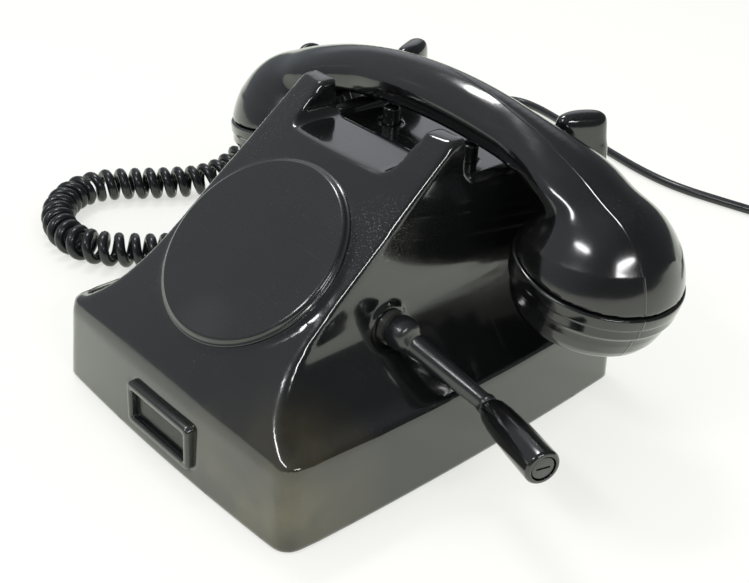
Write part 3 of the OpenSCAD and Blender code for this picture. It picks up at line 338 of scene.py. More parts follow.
def bar(r, start, end, place, steps=48):
    """A plain round bar about its own Z, from one height to another, then set in place."""
    return turned([(0, start), (r, start), (r, end), (0, end)], place, steps)


def prism(outline, place, depth):
    """A flat outline of (x, y) points, extruded by a depth along its own Z, then set in place."""
    bm = bmesh.new()
    face = bm.faces.new([bm.verts.new((p[0], p[1], 0)) for p in outline])
    top = bmesh.ops.extrude_face_region(bm, geom=[face])["geom"]
    bmesh.ops.translate(bm, verts=[g for g in top if isinstance(g, bmesh.types.BMVert)], vec=(0, 0, depth))
    bmesh.ops.recalc_face_normals(bm, faces=bm.faces)
    bmesh.ops.transform(bm, matrix=place, verts=bm.verts)
    return bm


def arc(cx, cy, r, start, end, steps=8):
    """Points along an arc, angles in degrees."""
    angles = [math.radians(start + (end - start) * k / steps) for k in range(steps + 1)]
    return [(cx + r * math.cos(a), cy + r * math.sin(a)) for a in angles]


def rounded_rect(w, h, r):
    """The outline of a rounded rectangle about the origin."""
    x, y = w / 2 - r, h / 2 - r
    return (arc(x, y, r, 0, 90, 6) + arc(-x, y, r, 90, 180, 6)
            + arc(-x, -y, r, 180, 270, 6) + arc(x, -y, r, 270, 360, 6))


def loose(bm, name):
    """A bmesh as a plain object, in millimetres, for use as a tool on another piece."""
    bmesh.ops.recalc_face_normals(bm, faces=bm.faces)
    mesh = bpy.data.meshes.new(name)
    bm.to_mesh(mesh)
    bm.free()
    made = bpy.data.objects.new(name, mesh)
    bpy.context.collection.objects.link(made)
    return made


def settled_mesh(obj, store=bpy.data.meshes):
    """The object's shape with its modifiers applied, as a bmesh, and the object removed."""
    bpy.context.view_layer.update()
    shown = obj.evaluated_get(bpy.context.evaluated_depsgraph_get())
    bm = bmesh.new()
    bm.from_mesh(shown.to_mesh())
    shown.to_mesh_clear()
    data = obj.data
    bpy.data.objects.remove(obj)
    store.remove(data)
    return bm


def cut(solid, tools, way="DIFFERENCE"):
    """The solid less its tools, or joined with them, as a bmesh again."""
    body = loose(solid, "solid")
    cutters = [loose(tool, "tool") for tool in tools]
    for cutter in cutters:
        step = body.modifiers.new("cut", "BOOLEAN")
        step.operation = way
        step.solver = "EXACT"
        step.object = cutter
    bm = settled_mesh(body)
    for cutter in cutters:
        mesh = cutter.data
        bpy.data.objects.remove(cutter)
        bpy.data.meshes.remove(mesh)
    return bm


def melted(bm, voxel, rounds):
    """One skin over everything in the bmesh, its edges and inner corners eased as a moulding's are."""
    body = loose(bm, "melt")
    skin = body.modifiers.new("skin", "REMESH")
    skin.mode = "VOXEL"
    skin.voxel_size = voxel
    ease = body.modifiers.new("ease", "SMOOTH")
    ease.factor = 0.5
    ease.iterations = rounds
    return settled_mesh(body)


def smoothed(bm, verts, rounds):
    """Some of the bmesh's vertices eased towards their neighbours, round after round."""
    for _ in range(rounds):
        bmesh.ops.smooth_vert(bm, verts=verts, factor=0.5, use_axis_x=True, use_axis_y=True, use_axis_z=True)


def swept(path, radii, sides):
    """A round bar along points, with a radius at each, closed at both ends."""
    ways = [(path[min(i + 1, len(path) - 1)] - path[max(i - 1, 0)]).normalized() for i in range(len(path))]
    side = ways[0].orthogonal().normalized()
    rings = []
    for p, way, r in zip(path, ways, radii):
        side = (side - way * side.dot(way)).normalized()
        over = way.cross(side)
        rings.append([p + r * (math.cos(math.tau * k / sides) * side + math.sin(math.tau * k / sides) * over)
                      for k in range(sides)])
    return extruded_rings(rings)


def spline(points, steps):
    """The smooth curve through points that the solids' routes use."""
    p = [Vector(v) for v in points]
    out = []
    for i in range(len(p) - 1):
        a = p[i - 1] if i else 2 * p[0] - p[1]
        b, c = p[i], p[i + 1]
        d = p[i + 2] if i < len(p) - 2 else 2 * c - b
        for k in range(steps):
            t = k / steps
            out.append(0.5 * (2 * b + (c - a) * t + (2 * a - 5 * b + 4 * c - d) * t * t
                              + (3 * b - a - 3 * c + d) * t * t * t))
    return out + [p[-1]]


def run_lengths(p):
    """The distance from the start to each point."""
    out = [0.0]
    for a, b in zip(p, p[1:]):
        out.append(out[-1] + (b - a).length)
    return out


def along(p, lengths, s):
    """The point at a distance along the curve."""
    low = 0
    high = len(p) - 1
    while high - low > 1:
        middle = (low + high) // 2
        if lengths[middle] <= s:
            low = middle
        else:
            high = middle
    return p[low].lerp(p[high], min(1.0, max(0.0, (s - lengths[low]) / (lengths[high] - lengths[low]))))


def cord_piece(name, points, d, body, replaces):
    """A round cord along points, made from a curve and kept as a mesh."""
    line = bpy.data.curves.new(name + "_line", "CURVE")
    line.dimensions = "3D"
    run = line.splines.new("POLY")
    run.points.add(len(points) - 1)
    for point, p in zip(run.points, points):
        point.co = (*p, 1)
    line.bevel_depth = d / 2
    line.bevel_resolution = 3
    line.use_fill_caps = True
    holder = bpy.data.objects.new(name + "_line", line)
    bpy.context.collection.objects.link(holder)
    bm = settled_mesh(holder, bpy.data.curves)
    return finish_piece(bm, name, SHEATH, body, replaces, sharp=50)


# ------------------------------------------------------------------- camera

def aim(azimuth, elevation, roll):
    """The camera's turn, from the angles of the photograph's view."""
    a, e, r = (math.radians(v) for v in (azimuth, elevation, roll))
    back = Vector((math.sin(a) * math.cos(e), -math.cos(a) * math.cos(e), math.sin(e)))
    right = Vector((math.cos(a), math.sin(a), 0))
    up = back.cross(right)
    x = right * math.cos(r) + up * math.sin(r)
    y = up * math.cos(r) - right * math.sin(r)
    return Matrix((x, y, back)).transposed().to_4x4()


CAMERA_AT = Vector((294.18, -278.70, 282.64))
VIEW_AZIMUTH, VIEW_ELEVATION, VIEW_ROLL = 45.15, 30.92, 4.25
camera_data = bpy.data.cameras.new("camera")
camera_data.lens = 56.04
camera_data.sensor_width = 36
camera_data.clip_start = 0.01
camera = bpy.data.objects.new("camera", camera_data)
bpy.context.collection.objects.link(camera)
camera.matrix_world = Matrix.Translation(CAMERA_AT * MM) @ aim(VIEW_AZIMUTH, VIEW_ELEVATION, VIEW_ROLL)
bpy.context.scene.camera = camera

# -------------------------------------------------------------------- cords

CURL_ROUTE = [
    (-120.2, 79.2, 84), (-126, 84.8, 83.2), (-133.5, 90.5, 78.5), (-142, 94.5, 69.5), (-150, 95, 57),
    (-156.5, 92, 43), (-161, 84, 30), (-164.5, 72.5, 19.5), (-166.5, 60, 12.2), (-170, 47, 9.2),
    (-176, 35, 8.6), (-182.6, 23.5, 8.6), (-189.5, 12.5, 8.6), (-194.5, 1, 8.6), (-194.5, -12, 8.6),
    (-188, -24, 8.6), (-177, -33.5, 8.6), (-162, -39, 8.6), (-147, -38.5, 8.6), (-135.5, -32, 8.6),
    (-127, -23, 8.6), (-119, -12.5, 8.6), (-112, 2, 8.6), (-106, 20, 8.6), (-103, 40, 8.6), (-103, 60, 8.6),
    (-104, 80, 8.6), (-103, 100, 8.6), (-96, 121, 8.6), (-81, 134, 8.6), (-62, 134, 9), (-47, 122, 10.5),
    (-42, 106, 12), (-42, 92.4, 12)]
LINE_ROUTE = [
    (0, 92.4, 12), (0, 98, 12), (0, 106, 10.5), (-1, 116, 6.5), (-3, 127, 3.6), (-7, 138, 2.8),
    (-17, 155, 2.7), (-36, 176, 2.7), (-62, 196, 2.7), (-92, 213, 2.7), (-122, 229, 2.7), (-148, 243, 2.7),
    (-164, 255, 2.7), (-171, 269, 2.7), (-168, 283, 2.7), (-159, 291, 2.7), (-147, 293, 2.7),
    (-127, 290, 2.7), (-98, 282, 2.7), (-70, 275.5, 2.7), (-49, 271, 2.7), (-30, 269, 2.7), (-13, 270, 2.7),
    (6, 274, 2.7), (30, 280, 2.7), (52, 284.5, 3), (70, 286, 3.4), (84, 286, 3.4)]
CURL_CORD_D = 4.9
CURL_R = 5.9
CURL_PITCH = 7.3
LINE_CORD_D = 5.0
COIL_AT = (84.0, 322.0)
COIL_TURNS = 6
COIL_R_OUT = 36.0
COIL_STEP = LINE_CORD_D + 0.8
COIL_LOW_Z = 3.4
TAIL_L = 28.0
CURL_STRAIGHT = CURL_CORD_D + 0.6
CURL_RAMP = 11
CURL_STEPS = 24


def curled_points():
    """The handset cord's middle line: curls wound round the route, straight at both ends."""
    path = spline(CURL_ROUTE, 6)
    lengths = run_lengths(path)
    total = lengths[-1]
    wound = total - 2 * CURL_STRAIGHT
    rings = CURL_STEPS * int(wound / CURL_PITCH)
    s = [0.05] + [CURL_STRAIGHT + wound * i / rings for i in range(rings + 1)] + [total - 0.05]
    axis = [along(path, lengths, v) for v in s]
    ways = [(axis[min(i + 1, len(axis) - 1)] - axis[max(i - 1, 0)]).normalized() for i in range(len(axis))]
    side = ways[0].cross(Z_AXIS if abs(ways[0].z) < 0.8 else X_AXIS).normalized()
    out = []
    for i, (p, way) in enumerate(zip(axis, ways)):
        side = (side - way * side.dot(way)).normalized()
        grow = max(0.0, min(1.0, (s[i] - CURL_STRAIGHT) / CURL_RAMP,
                            (total - CURL_STRAIGHT - s[i]) / CURL_RAMP))
        a = math.radians(360 / CURL_STEPS * i)
        out.append(p + CURL_R * grow * (math.cos(a) * side + math.sin(a) * way.cross(side)))
    return out


def coil_point(turn):
    """A point of the put-away coil, in two layers."""
    half = COIL_TURNS / 2
    a = math.radians(-90 + 360 * turn)
    r = COIL_R_OUT - COIL_STEP * (turn if turn < half else COIL_TURNS - turn)
    climb = min(1.0, max(0.0, (turn - half + 0.25) / 0.5))
    return Vector((COIL_AT[0] + r * math.cos(a), COIL_AT[1] + r * math.sin(a),
                   COIL_LOW_Z + COIL_STEP * climb))


curl_line = curled_points()
handset_cord = cord_piece("handset_curled_cord", curl_line, CURL_CORD_D, None, ["handset_cord"])
line_line = (spline(LINE_ROUTE, 8)[:-1] + [coil_point(i / 48) for i in range(48 * COIL_TURNS)]
             + [Vector((COIL_AT[0] + TAIL_L * k / 4, COIL_AT[1] - COIL_R_OUT, COIL_LOW_Z + COIL_STEP))
                for k in range(5)])
line_cord = cord_piece("line_cord_run", line_line, LINE_CORD_D, "root", ["line_cord", "line_cord_coil"])

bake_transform(handset_cord)

# -------------------------------------------------------------------- stage

floor_bm = bmesh.new()
bmesh.ops.create_grid(floor_bm, x_segments=1, y_segments=1, size=6.0)
floor_mesh = bpy.data.meshes.new("table_top")
floor_bm.to_mesh(floor_mesh)
floor_bm.free()
floor = bpy.data.objects.new("table_top", floor_mesh)
bpy.context.collection.objects.link(floor)

# White paper over the table: matt, faintly warm. To the camera and in reflections it is partly its own plain
# white, which keeps the page white and the shadow soft.
paper, paper_tree, paper_shader, paper_place = blank_material("white_table_paper", Roughness=0.9)
fibre = add(paper_tree, "ShaderNodeTexNoise", {"Scale": 8.0, "Detail": 3.0},
            {"Vector": paper_place}).outputs["Fac"]
rays = add(paper_tree, "ShaderNodeLightPath").outputs
paper_tone, glow_tone = (
    add(paper_tree, "ShaderNodeMix", {"data_type": "RGBA", 6: linear(one), 7: linear(other)},
        {0: source}).outputs[2]
    for one, other, source in (("#f4f5f0", "#f8f8f4", fibre), ("#fefefb", "#f4faea", rays["Is Glossy Ray"])))
paper_tree.links.new(paper_tone, paper_shader.inputs["Base Color"])
glow = add(paper_tree, "ShaderNodeEmission", {"Strength": 1.0}, {"Color": glow_tone}).outputs[0]
seen = add(paper_tree, "ShaderNodeMath", {"operation": "MAXIMUM"},
           {0: rays["Is Camera Ray"], 1: rays["Is Glossy Ray"]}).outputs[0]
share = add(paper_tree, "ShaderNodeMath", {"operation": "MULTIPLY", 1: 0.62}, {0: seen}).outputs[0]
mixed = add(paper_tree, "ShaderNodeMixShader", {}, {0: share, 1: paper_shader.outputs[0], 2: glow}).outputs[0]
paper_tree.links.new(mixed, paper_tree.nodes["Material Output"].inputs["Surface"])
floor_mesh.materials.append(paper)


LIT_POINT = Vector((0.02, 0.0, 0.07))


def lamp(name, way, distance, size, power):
    """A plain white softbox, seen from the telephone in the given direction."""
    data = bpy.data.lights.new(name, "AREA")
    data.shape = "ELLIPSE"
    data.size, data.size_y = size
    data.energy = power
    made = bpy.data.objects.new(name, data)
    bpy.context.collection.objects.link(made)
    way = Vector(way).normalized()
    turn = way.to_track_quat("Z", "Y").to_matrix().to_4x4()
    made.matrix_world = Matrix.Translation(LIT_POINT + way * distance) @ turn


lamp("front_softbox", (-0.02, -0.66, 0.70), 1.4, (0.62, 0.15), 4.5)
lamp("side_softbox", (0.88, -0.16, 0.60), 1.4, (0.66, 0.13), 4.5)
lamp("overhead_softbox", (-0.45, 0.10, 0.88), 1.3, (0.45, 0.2), 4)

# The room: pale where the front left wall and ceiling are, with a small bright spot in the middle of it, dark
# behind and to the right, and a second pale wall at the back left.
world = bpy.data.worlds.new("room")
bpy.context.scene.world = world
world.use_nodes = True
sky = world.node_tree
way_out = add(sky, "ShaderNodeTexCoord").outputs["Generated"]
toward, behind = (
    add(sky, "ShaderNodeVectorMath", {"operation": "DOT_PRODUCT", 1: way}, {0: way_out}).outputs["Value"]
    for way in ((-0.68, -0.48, 0.55), (-0.61, 0.61, 0.51)))
room = add(sky, "ShaderNodeValToRGB", {}, {"Fac": toward},
           [(0.0, (0.095, 0.1, 0.105, 1)), (0.75, (0.28, 0.3, 0.325, 1)), (1.0, (0.34, 0.36, 0.385, 1)),
            (1.0, grey(1))])
pale_wall = add(sky, "ShaderNodeValToRGB", {}, {"Fac": behind}, black_to_white(0.9, 0.975)).outputs["Color"]
room = add(sky, "ShaderNodeMix", {"data_type": "RGBA", 7: (0.66, 0.68, 0.72, 1)},
           {0: pale_wall, 6: room.outputs["Color"]}).outputs[2]
# A diffuse ray sees an evenly bright studio, so the table is lit white; a mirror ray sees the dark room.
sky_rays = add(sky, "ShaderNodeLightPath").outputs
mirrors = add(sky, "ShaderNodeMath", {"operation": "MAXIMUM"},
              {0: sky_rays["Is Glossy Ray"], 1: sky_rays["Is Transmission Ray"]}).outputs[0]
studio = add(sky, "ShaderNodeMix", {"data_type": "RGBA", 6: grey(0.78)}, {0: mirrors, 7: room}).outputs[2]
sky.links.new(studio, sky.nodes["Background"].inputs["Color"])
sky.nodes["Background"].inputs["Strength"].default_value = 1.0

bpy.context.scene.view_settings.view_transform = "Standard"

# ------------------------------------------------------------------ housing

PLINTH_HALF_W = 70.0
PLINTH_HALF_D = 88.5
PLINTH_BOW = 2.4
PLINTH_CORNER_R = 7.5
SKIRT_DRAFT = 1.8
LEDGE_Z = 34.0
BODY_TOP_Z = 118.3
BODY_HALF_W = 42.0
SIDE_LEAN = math.tan(math.radians(3.2))
COVE_R = 31.0
EAR_FLARE = 17.5
FRONT_SLOPE = math.radians(39.5)
FRONT_EDGE_Z = 31.0
FRONT_BLEND_Z = 58.0
FRONT_BOW = 2.3
CROWN_FULL_Z = 49.0
FRONT_CROWN = 4.2
WALL_T = 3.0
FRONT_FACE_Y = -49.5
BLANK_Z = 74.7
REAR_TOP_Y = 84.5
REAR_LEAN = 0.045
EDGE_SOFT = 3.0
RIDGE_R = 2.5
REAR_CORNER_R = 7.0
SLOPE_RUN = 1 / math.tan(FRONT_SLOPE)
FRONT_EDGE_Y = -PLINTH_HALF_D - SKIRT_DRAFT * (1 - FRONT_EDGE_Z / LEDGE_Z)
FRONT_BLEND_Y = FRONT_FACE_Y + (FRONT_BLEND_Z - BLANK_Z) * SLOPE_RUN
FRONT_POWER = SLOPE_RUN * (FRONT_BLEND_Z - FRONT_EDGE_Z) / (FRONT_BLEND_Y - FRONT_EDGE_Y)
COVE_TOP_Z = LEDGE_Z + COVE_R
TOP_EDGE_R = 1.8
WELL_Z = 96.0
SADDLE_Z = 100.5
TROUGH = (13.0, 73.6)
WELL_HALF_W = 36.0
NOTCH_HALF_W = 28.0
NOTCH_Z = 104.7
CRANK = Vector((0, -24.0, 56.5))
SPOT_X = 47.2
LABEL_Z = 15.5
LABEL_SEAT_Y = 0.9 - PLINTH_HALF_D - FRONT_BOW
LABEL_W, LABEL_H, LABEL_T = 39.5, 18.6, 4.0
ON_FRONT = Matrix.Translation((0, FRONT_FACE_Y, BLANK_Z)) @ Matrix.Rotation(FRONT_SLOPE, 4, "X")
ON_LABEL = Matrix.Translation((0, LABEL_SEAT_Y, LABEL_Z)) @ Matrix.Rotation(math.pi / 2, 4, "X")
ON_CRANK = Matrix.Translation((0, CRANK.y, CRANK.z)) @ Matrix.Rotation(math.pi / 2, 4, "Y")
BOSS_R, BOSS_CLEAR_R, BUSH_BORE_R = 7.7, 8.6, 5.2
DIAL_PAD_R, DIAL_BORE_R, SPIGOT_R = 39.8, 33.6, 33.5
PLUNGER_X, PLUNGER_Y, PLUNGER_R, PLUNGER_BORE_R = 22, 38, 3.5, 3.56
POST_X, POST_Y, POST_R = 64.5, 75, 5
CORD_XS, CORD_Z, CORD_BORE_R = (0, -42), 12, 6.1
FAR_UP = 160


def cove_out(z):
    return 0 if z >= COVE_TOP_Z else COVE_R - math.sqrt(max(0.0, COVE_R ** 2 - (COVE_TOP_Z - z) ** 2))


def top_inset(z):
    over = z - (BODY_TOP_Z - TOP_EDGE_R)
    return 0 if over <= 0 else TOP_EDGE_R - math.sqrt(max(0.0, TOP_EDGE_R ** 2 - over ** 2))


def wall_x(z):
    return BODY_HALF_W + (BODY_TOP_Z - z) * SIDE_LEAN + cove_out(z) - top_inset(z)


def flare(y):
    return EAR_FLARE * max(0.0, (y - 10) / (REAR_TOP_Y - 10)) ** 3


def softer_min(a, b):
    return min(a, b) - max(0.0, EDGE_SOFT - abs(a - b)) ** 2 / (4 * EDGE_SOFT)


def skirt_x(y, z):
    bowed = PLINTH_HALF_W + PLINTH_BOW * (1 - (y / PLINTH_HALF_D) ** 2)
    return bowed + SKIRT_DRAFT * max(0.0, 1 - z / LEDGE_Z)


def side_x(y, z):
    return skirt_x(y, z) if z < LEDGE_Z else softer_min(skirt_x(y, z), wall_x(z) + flare(y))


def face_y(z):
    if z < FRONT_EDGE_Z:
        return -PLINTH_HALF_D - SKIRT_DRAFT * (1 - z / LEDGE_Z)
    if z < FRONT_BLEND_Z:
        rise = (z - FRONT_EDGE_Z) / (FRONT_BLEND_Z - FRONT_EDGE_Z)
        return FRONT_EDGE_Y + (FRONT_BLEND_Y - FRONT_EDGE_Y) * rise ** FRONT_POWER
    return FRONT_FACE_Y + (z - BLANK_Z) * SLOPE_RUN


def crown_y(x, z):
    """How far the front falls back towards its ridges, and how far the skirt bows out at its middle."""
    face_share = min(1.0, max(0.0, (z - FRONT_EDGE_Z) / (CROWN_FULL_Z - FRONT_EDGE_Z)))
    spread = (BODY_HALF_W + 4) / side_x(-PLINTH_HALF_D, z) if z < COVE_TOP_Z else 1
    return (FRONT_CROWN * face_share * (x / (BODY_HALF_W + 4) * spread) ** 2
            - FRONT_BOW * (1 - face_share) * (1 - (x / PLINTH_HALF_W) ** 2))


def rear_y(z):
    if z < LEDGE_Z:
        return PLINTH_HALF_D + SKIRT_DRAFT * (1 - z / LEDGE_Z)
    return max(REAR_TOP_Y, PLINTH_HALF_D - 0.6 - (z - LEDGE_Z) * REAR_LEAN) - top_inset(z)


def corner_r(z):
    return max(RIDGE_R, PLINTH_CORNER_R - max(0.0, z - LEDGE_Z + 1) * 0.7)


def level_ring(z, inset=0.0, lift=0.0):
    """The housing's outline at one height, the right half and its mirror image."""
    zz = z + lift
    rf, rr = max(1.0, corner_r(zz) - inset / 2), REAR_CORNER_R
    xf = side_x(face_y(zz), zz) - inset
    yf = face_y(zz) + crown_y(xf - rf, zz) + inset
    yr = rear_y(zz) - inset
    xr = side_x(yr - rr, zz) - inset
    half = [((xf - rf) * k / 8, 0) for k in range(8)]
    half = [(x, face_y(zz) + crown_y(x, zz) + inset) for x, _ in half]
    half += arc(xf - rf, yf + rf, rf, -90, 0)
    for k in range(1, 24):
        y = yf + rf + (yr - rr - yf - rf) * k / 24
        half.append((side_x(y, zz) - inset, y))
    half += arc(xr - rr, yr - rr, rr, 0, 90)
    half += [((xr - rr) * (1 - k / 6), yr) for k in range(1, 7)]
    return [Vector((x, y, z)) for x, y in half + [(-x, y) for x, y in half[-2:0:-1]]]


def across(outline, x0, x1):
    """A prism along X from an outline of (y, z) points."""
    return prism(outline, Matrix(((0, 0, 1, x0), (1, 0, 0, 0), (0, 1, 0, 0), (0, 0, 0, 1))), x1 - x0)


def lengthways(outline, y0, y1):
    """A prism along Y from an outline of (x, z) points."""
    return prism(outline, Matrix(((1, 0, 0, 0), (0, 0, 1, y0), (0, 1, 0, 0), (0, 0, 0, 1))), y1 - y0)


def trough_outline(floor_z):
    r = 8
    front, rear = TROUGH
    return (arc(front + r, floor_z + r, r, 180, 270) + arc(rear - r, floor_z + r, r, 270, 360)
            + [(rear, FAR_UP), (front, FAR_UP)])


def notch_outline():
    r = 5
    inner, outer, low = NOTCH_HALF_W - r, NOTCH_HALF_W + 2, NOTCH_Z + r
    return (arc(-inner, low, r, 180, 270) + arc(inner, low, r, 270, 360)
            + [(outer, FAR_UP), (-outer, FAR_UP)])


EAR_PLAN = [
    (40.5, 62), (43, 60.6), (47, 61.5), (52, 68), (56, 74), (62, 80), (64, 86), (49, 86), (44, 80), (41, 74),
    (39.5, 68)]
EAR_PEAK_Z = 117.6


def ear_block(side):
    """What is left standing of a rear corner: a thick wall that follows the flare, its top well rounded."""
    outline = [(side * p.x, p.y) for p in eased([Vector(p) for p in EAR_PLAN + EAR_PLAN[:2]], 2.5)[2:-2]]
    bm = prism(outline, Matrix.Translation((0, 0, 90)), EAR_PEAK_Z - 90)
    rim = [e for e in bm.edges if all(v.co.z > EAR_PEAK_Z - 0.1 for v in e.verts)]
    bmesh.ops.bevel(bm, geom=rim, offset=4.4, offset_type="OFFSET", segments=6, profile=0.5, affect="EDGES",
                    material=-1, clamp_overlap=True)
    return bm


def less_ears(tool):
    """A cutting tool less both ears, which it leaves standing."""
    return cut(tool, [ear_block(side) for side in (-1, 1)])


def housing_shell():
    """The housing: one moulding, hollow below, with the plinth, sloping face, cradle, horns and ears."""
    levels = [-2, 4, 10, 16, 22, 27, 30, FRONT_EDGE_Z, 31.5, 32.2, 33, 33.5]
    levels += [LEDGE_Z + k for k in (0.05, 0.4, 0.8, 1.3, 2, 3, 4, 5.5, 7, 9, 11, 13.5, 16, 19, 22, 26, 31)]
    levels += [72, 80, 88, 94, 100, 104, 108, 112, 115]
    levels += [BODY_TOP_Z - TOP_EDGE_R * (1 - math.sin(math.radians(a))) for a in (0, 22, 45, 67, 90)]
    outer = extruded_rings([level_ring(z) for z in levels])
    inner_levels = [-4, 14, 25, 28] + [z - WALL_T for z in levels[12:29]] + [76, 84, WELL_Z - 4]
    inner = extruded_rings([level_ring(z, WALL_T, WALL_T) for z in inner_levels])
    pad = turned(eased([(0, -6), (DIAL_PAD_R, -6), (DIAL_PAD_R, 0), (0, 0)], 0.8), ON_FRONT, 96)
    boss = bar(BOSS_R, SPOT_X - 7, SPOT_X, ON_CRANK)
    posts = [bar(POST_R, 3.5, LEDGE_Z - 2, Matrix.Translation((side * POST_X, end * POST_Y, 0)), 32)
             for side in (-1, 1) for end in (-1, 1)]
    body = cut(outer, [pad], "UNION")
    body = cut(body, [inner])
    body = cut(body, [boss] + posts, "UNION")
    behind_cradle = [(-80, SADDLE_Z - 1), (80, SADDLE_Z - 1), (80, FAR_UP), (-80, FAR_UP)]
    tools = [
        across(trough_outline(WELL_Z), -WELL_HALF_W, WELL_HALF_W),
        less_ears(across(trough_outline(SADDLE_Z), -90, 90)),
        lengthways(notch_outline(), -60, TROUGH[0] + 6),
        less_ears(lengthways(behind_cradle, TROUGH[1] - 4, 110)),
        bar(DIAL_BORE_R, -12, 2, ON_FRONT, 96),
        bar(BOSS_CLEAR_R, SPOT_X, SPOT_X + 30, ON_CRANK),
        bar(BUSH_BORE_R, 30, 60, ON_CRANK),
    ]
    tools += [bar(PLUNGER_BORE_R, WELL_Z - 8, WELL_Z + 4, Matrix.Translation((x, PLUNGER_Y, 0)), 32)
              for x in (-PLUNGER_X, PLUNGER_X)]
    tools += [bar(CORD_BORE_R, PLINTH_HALF_D + 1.7, 110,
                  Matrix.Translation((x, 0, CORD_Z)) @ Matrix.Rotation(-math.pi / 2, 4, "X")) for x in CORD_XS]
    tools += [prism(rounded_rect(LABEL_W + 0.1, LABEL_H + 0.1, 2.5), ON_LABEL, 10)]
    body = cut(body, tools)
    body = melted(body, 1.28, 4)
    ear_tops = [v for v in body.verts if abs(v.co.x) > 37 and v.co.y > 58 and v.co.z > SADDLE_Z + 3]
    smoothed(body, ear_tops, 45)
    bmesh.ops.bisect_plane(body, geom=body.verts[:] + body.edges[:] + body.faces[:], plane_co=(0, 0, 1),
                           plane_no=(0, 0, -1), clear_outer=True)
    bmesh.ops.bridge_loops(body, edges=[e for e in body.edges if e.is_boundary and e.calc_length() > 0])
    finish_piece(body, "housing_moulding", BODY, "root", ["housing"], sharp=180, weld=0.0001)


housing_shell()

# --------------------------------------------------------------- dial blank

DISC = [(0, -4), (SPIGOT_R, -4), (SPIGOT_R, 0), (39.3, 0), (39.3, 0.7), (38.3, 1.1), (37.9, 1.9), (37.0, 2.5),
        (0, 2.5)]
finish_piece(turned(eased(DISC, 0.6), ON_FRONT, 128), "dial_blank_disc", BLANK, "root",
             ["dial_blank"], sharp=60)

# -------------------------------------------------------------------- label

# The rings of the frame, a shallow one with rounded outer corners and a recess for the card: how much less
# than the full width and height, the corner radius, and the height.
LABEL_RINGS = [(0, 2.4, 0), (0, 2.4, 2.9), (0.3, 2.3, 3.4), (0.9, 2.1, 3.8), (1.8, 1.8, LABEL_T),
               (4.6, 1.5, LABEL_T), (5.4, 1.3, 3.7), (6, 1.0, 3.1), (6, 1.0, 0.6)]
surround = extruded_rings([[Vector((x, y, z)) for x, y in rounded_rect(LABEL_W - less, LABEL_H - less, r)]
                           for less, r, z in LABEL_RINGS])
bmesh.ops.transform(surround, matrix=ON_LABEL, verts=surround.verts)
finish_piece(surround, "label_surround", ENAMEL, "root", ["label_frame"], sharp=50)

# ------------------------------------------------------------------ handset

SADDLE_GAP = 0.3
HEAD_X, HEAD_Y, HEAD_Z = 85.4, 44.3, 76.8
HEAD_TILT = math.radians(9.8)
HEAD_R = 31.2
CAP_R = 32.8
CAP_DROP = 25.5
HANDLE_W = 26.0
CREST_Z, CREST_R = 126.0, 218.0
BELLY_R = 260.0
CREST_SHAPE, SIDE_SHAPE = 1.6, 0.75
HOLLOW_R, SEAT_R = 26.5, 28.4
HALF_STATIONS = [8, 16, 24, 32, 40, 46, 52, 57, 62, 67, 72, 77, 82, 87, 92, 96, 100, 104, 107]


def arch_drop(x, r):
    return r - math.sqrt(r * r - x * x)


SADDLE_END_X = wall_x(SADDLE_Z) + flare(HEAD_Y + HANDLE_W / 4)
BELLY_Z = SADDLE_Z + SADDLE_GAP + arch_drop(SADDLE_END_X, BELLY_R)


def at_head(side):
    return Matrix.Translation((side * HEAD_X, HEAD_Y, HEAD_Z)) @ Matrix.Rotation(side * HEAD_TILT, 4, "Y")


def between(x, table):
    """The value at x of a table of (x, value) rows."""
    for (a, va), (b, vb) in zip(table, table[1:]):
        if x <= b:
            return va + (vb - va) * max(0.0, (x - a)) / (b - a)
    return table[-1][1]


HANDLE_WIDTHS = [
    (40, HANDLE_W), (52, HANDLE_W + 5), (62, HANDLE_W + 12), (72, HANDLE_W + 16), (82, HANDLE_W + 12),
    (92, HANDLE_W + 2), (100, HANDLE_W - 10), (107, 5)]


def handle_ring(x):
    """The handle's section at x: a soft crest above, a full round below."""
    top = CREST_Z - arch_drop(x, CREST_R)
    low = BELLY_Z - arch_drop(x, BELLY_R)
    h, mid, w = (top - low) / 2, (top + low) / 2, between(abs(x), HANDLE_WIDTHS) / 2
    out = []
    for k in range(48):
        a = math.tau * k / 48 - math.pi / 2
        c, s = math.cos(a), math.sin(a)
        if s > 0:
            z = mid + h * max(0.0, 1 - abs(c) ** CREST_SHAPE) ** SIDE_SHAPE
        else:
            z = mid - h * max(0.0, 1 - abs(c) ** 3) ** (1 / 3)
        out.append(Vector((x, HEAD_Y + w * c, z)))
    return out


DOME = [
    (0, 0.05), (HEAD_R + 0.6, 0.05), (HEAD_R + 0.6, 1.2), (HEAD_R - 0.2, 4), (HEAD_R - 1.3, 7),
    (HEAD_R - 2.7, 10), (HEAD_R - 4.4, 13), (HEAD_R - 6.2, 16), (HEAD_R - 8.6, 19), (HEAD_R - 11.8, 22),
    (HEAD_R - 15.6, 25), (HEAD_R - 21, 27.6), (0, 29.2)]


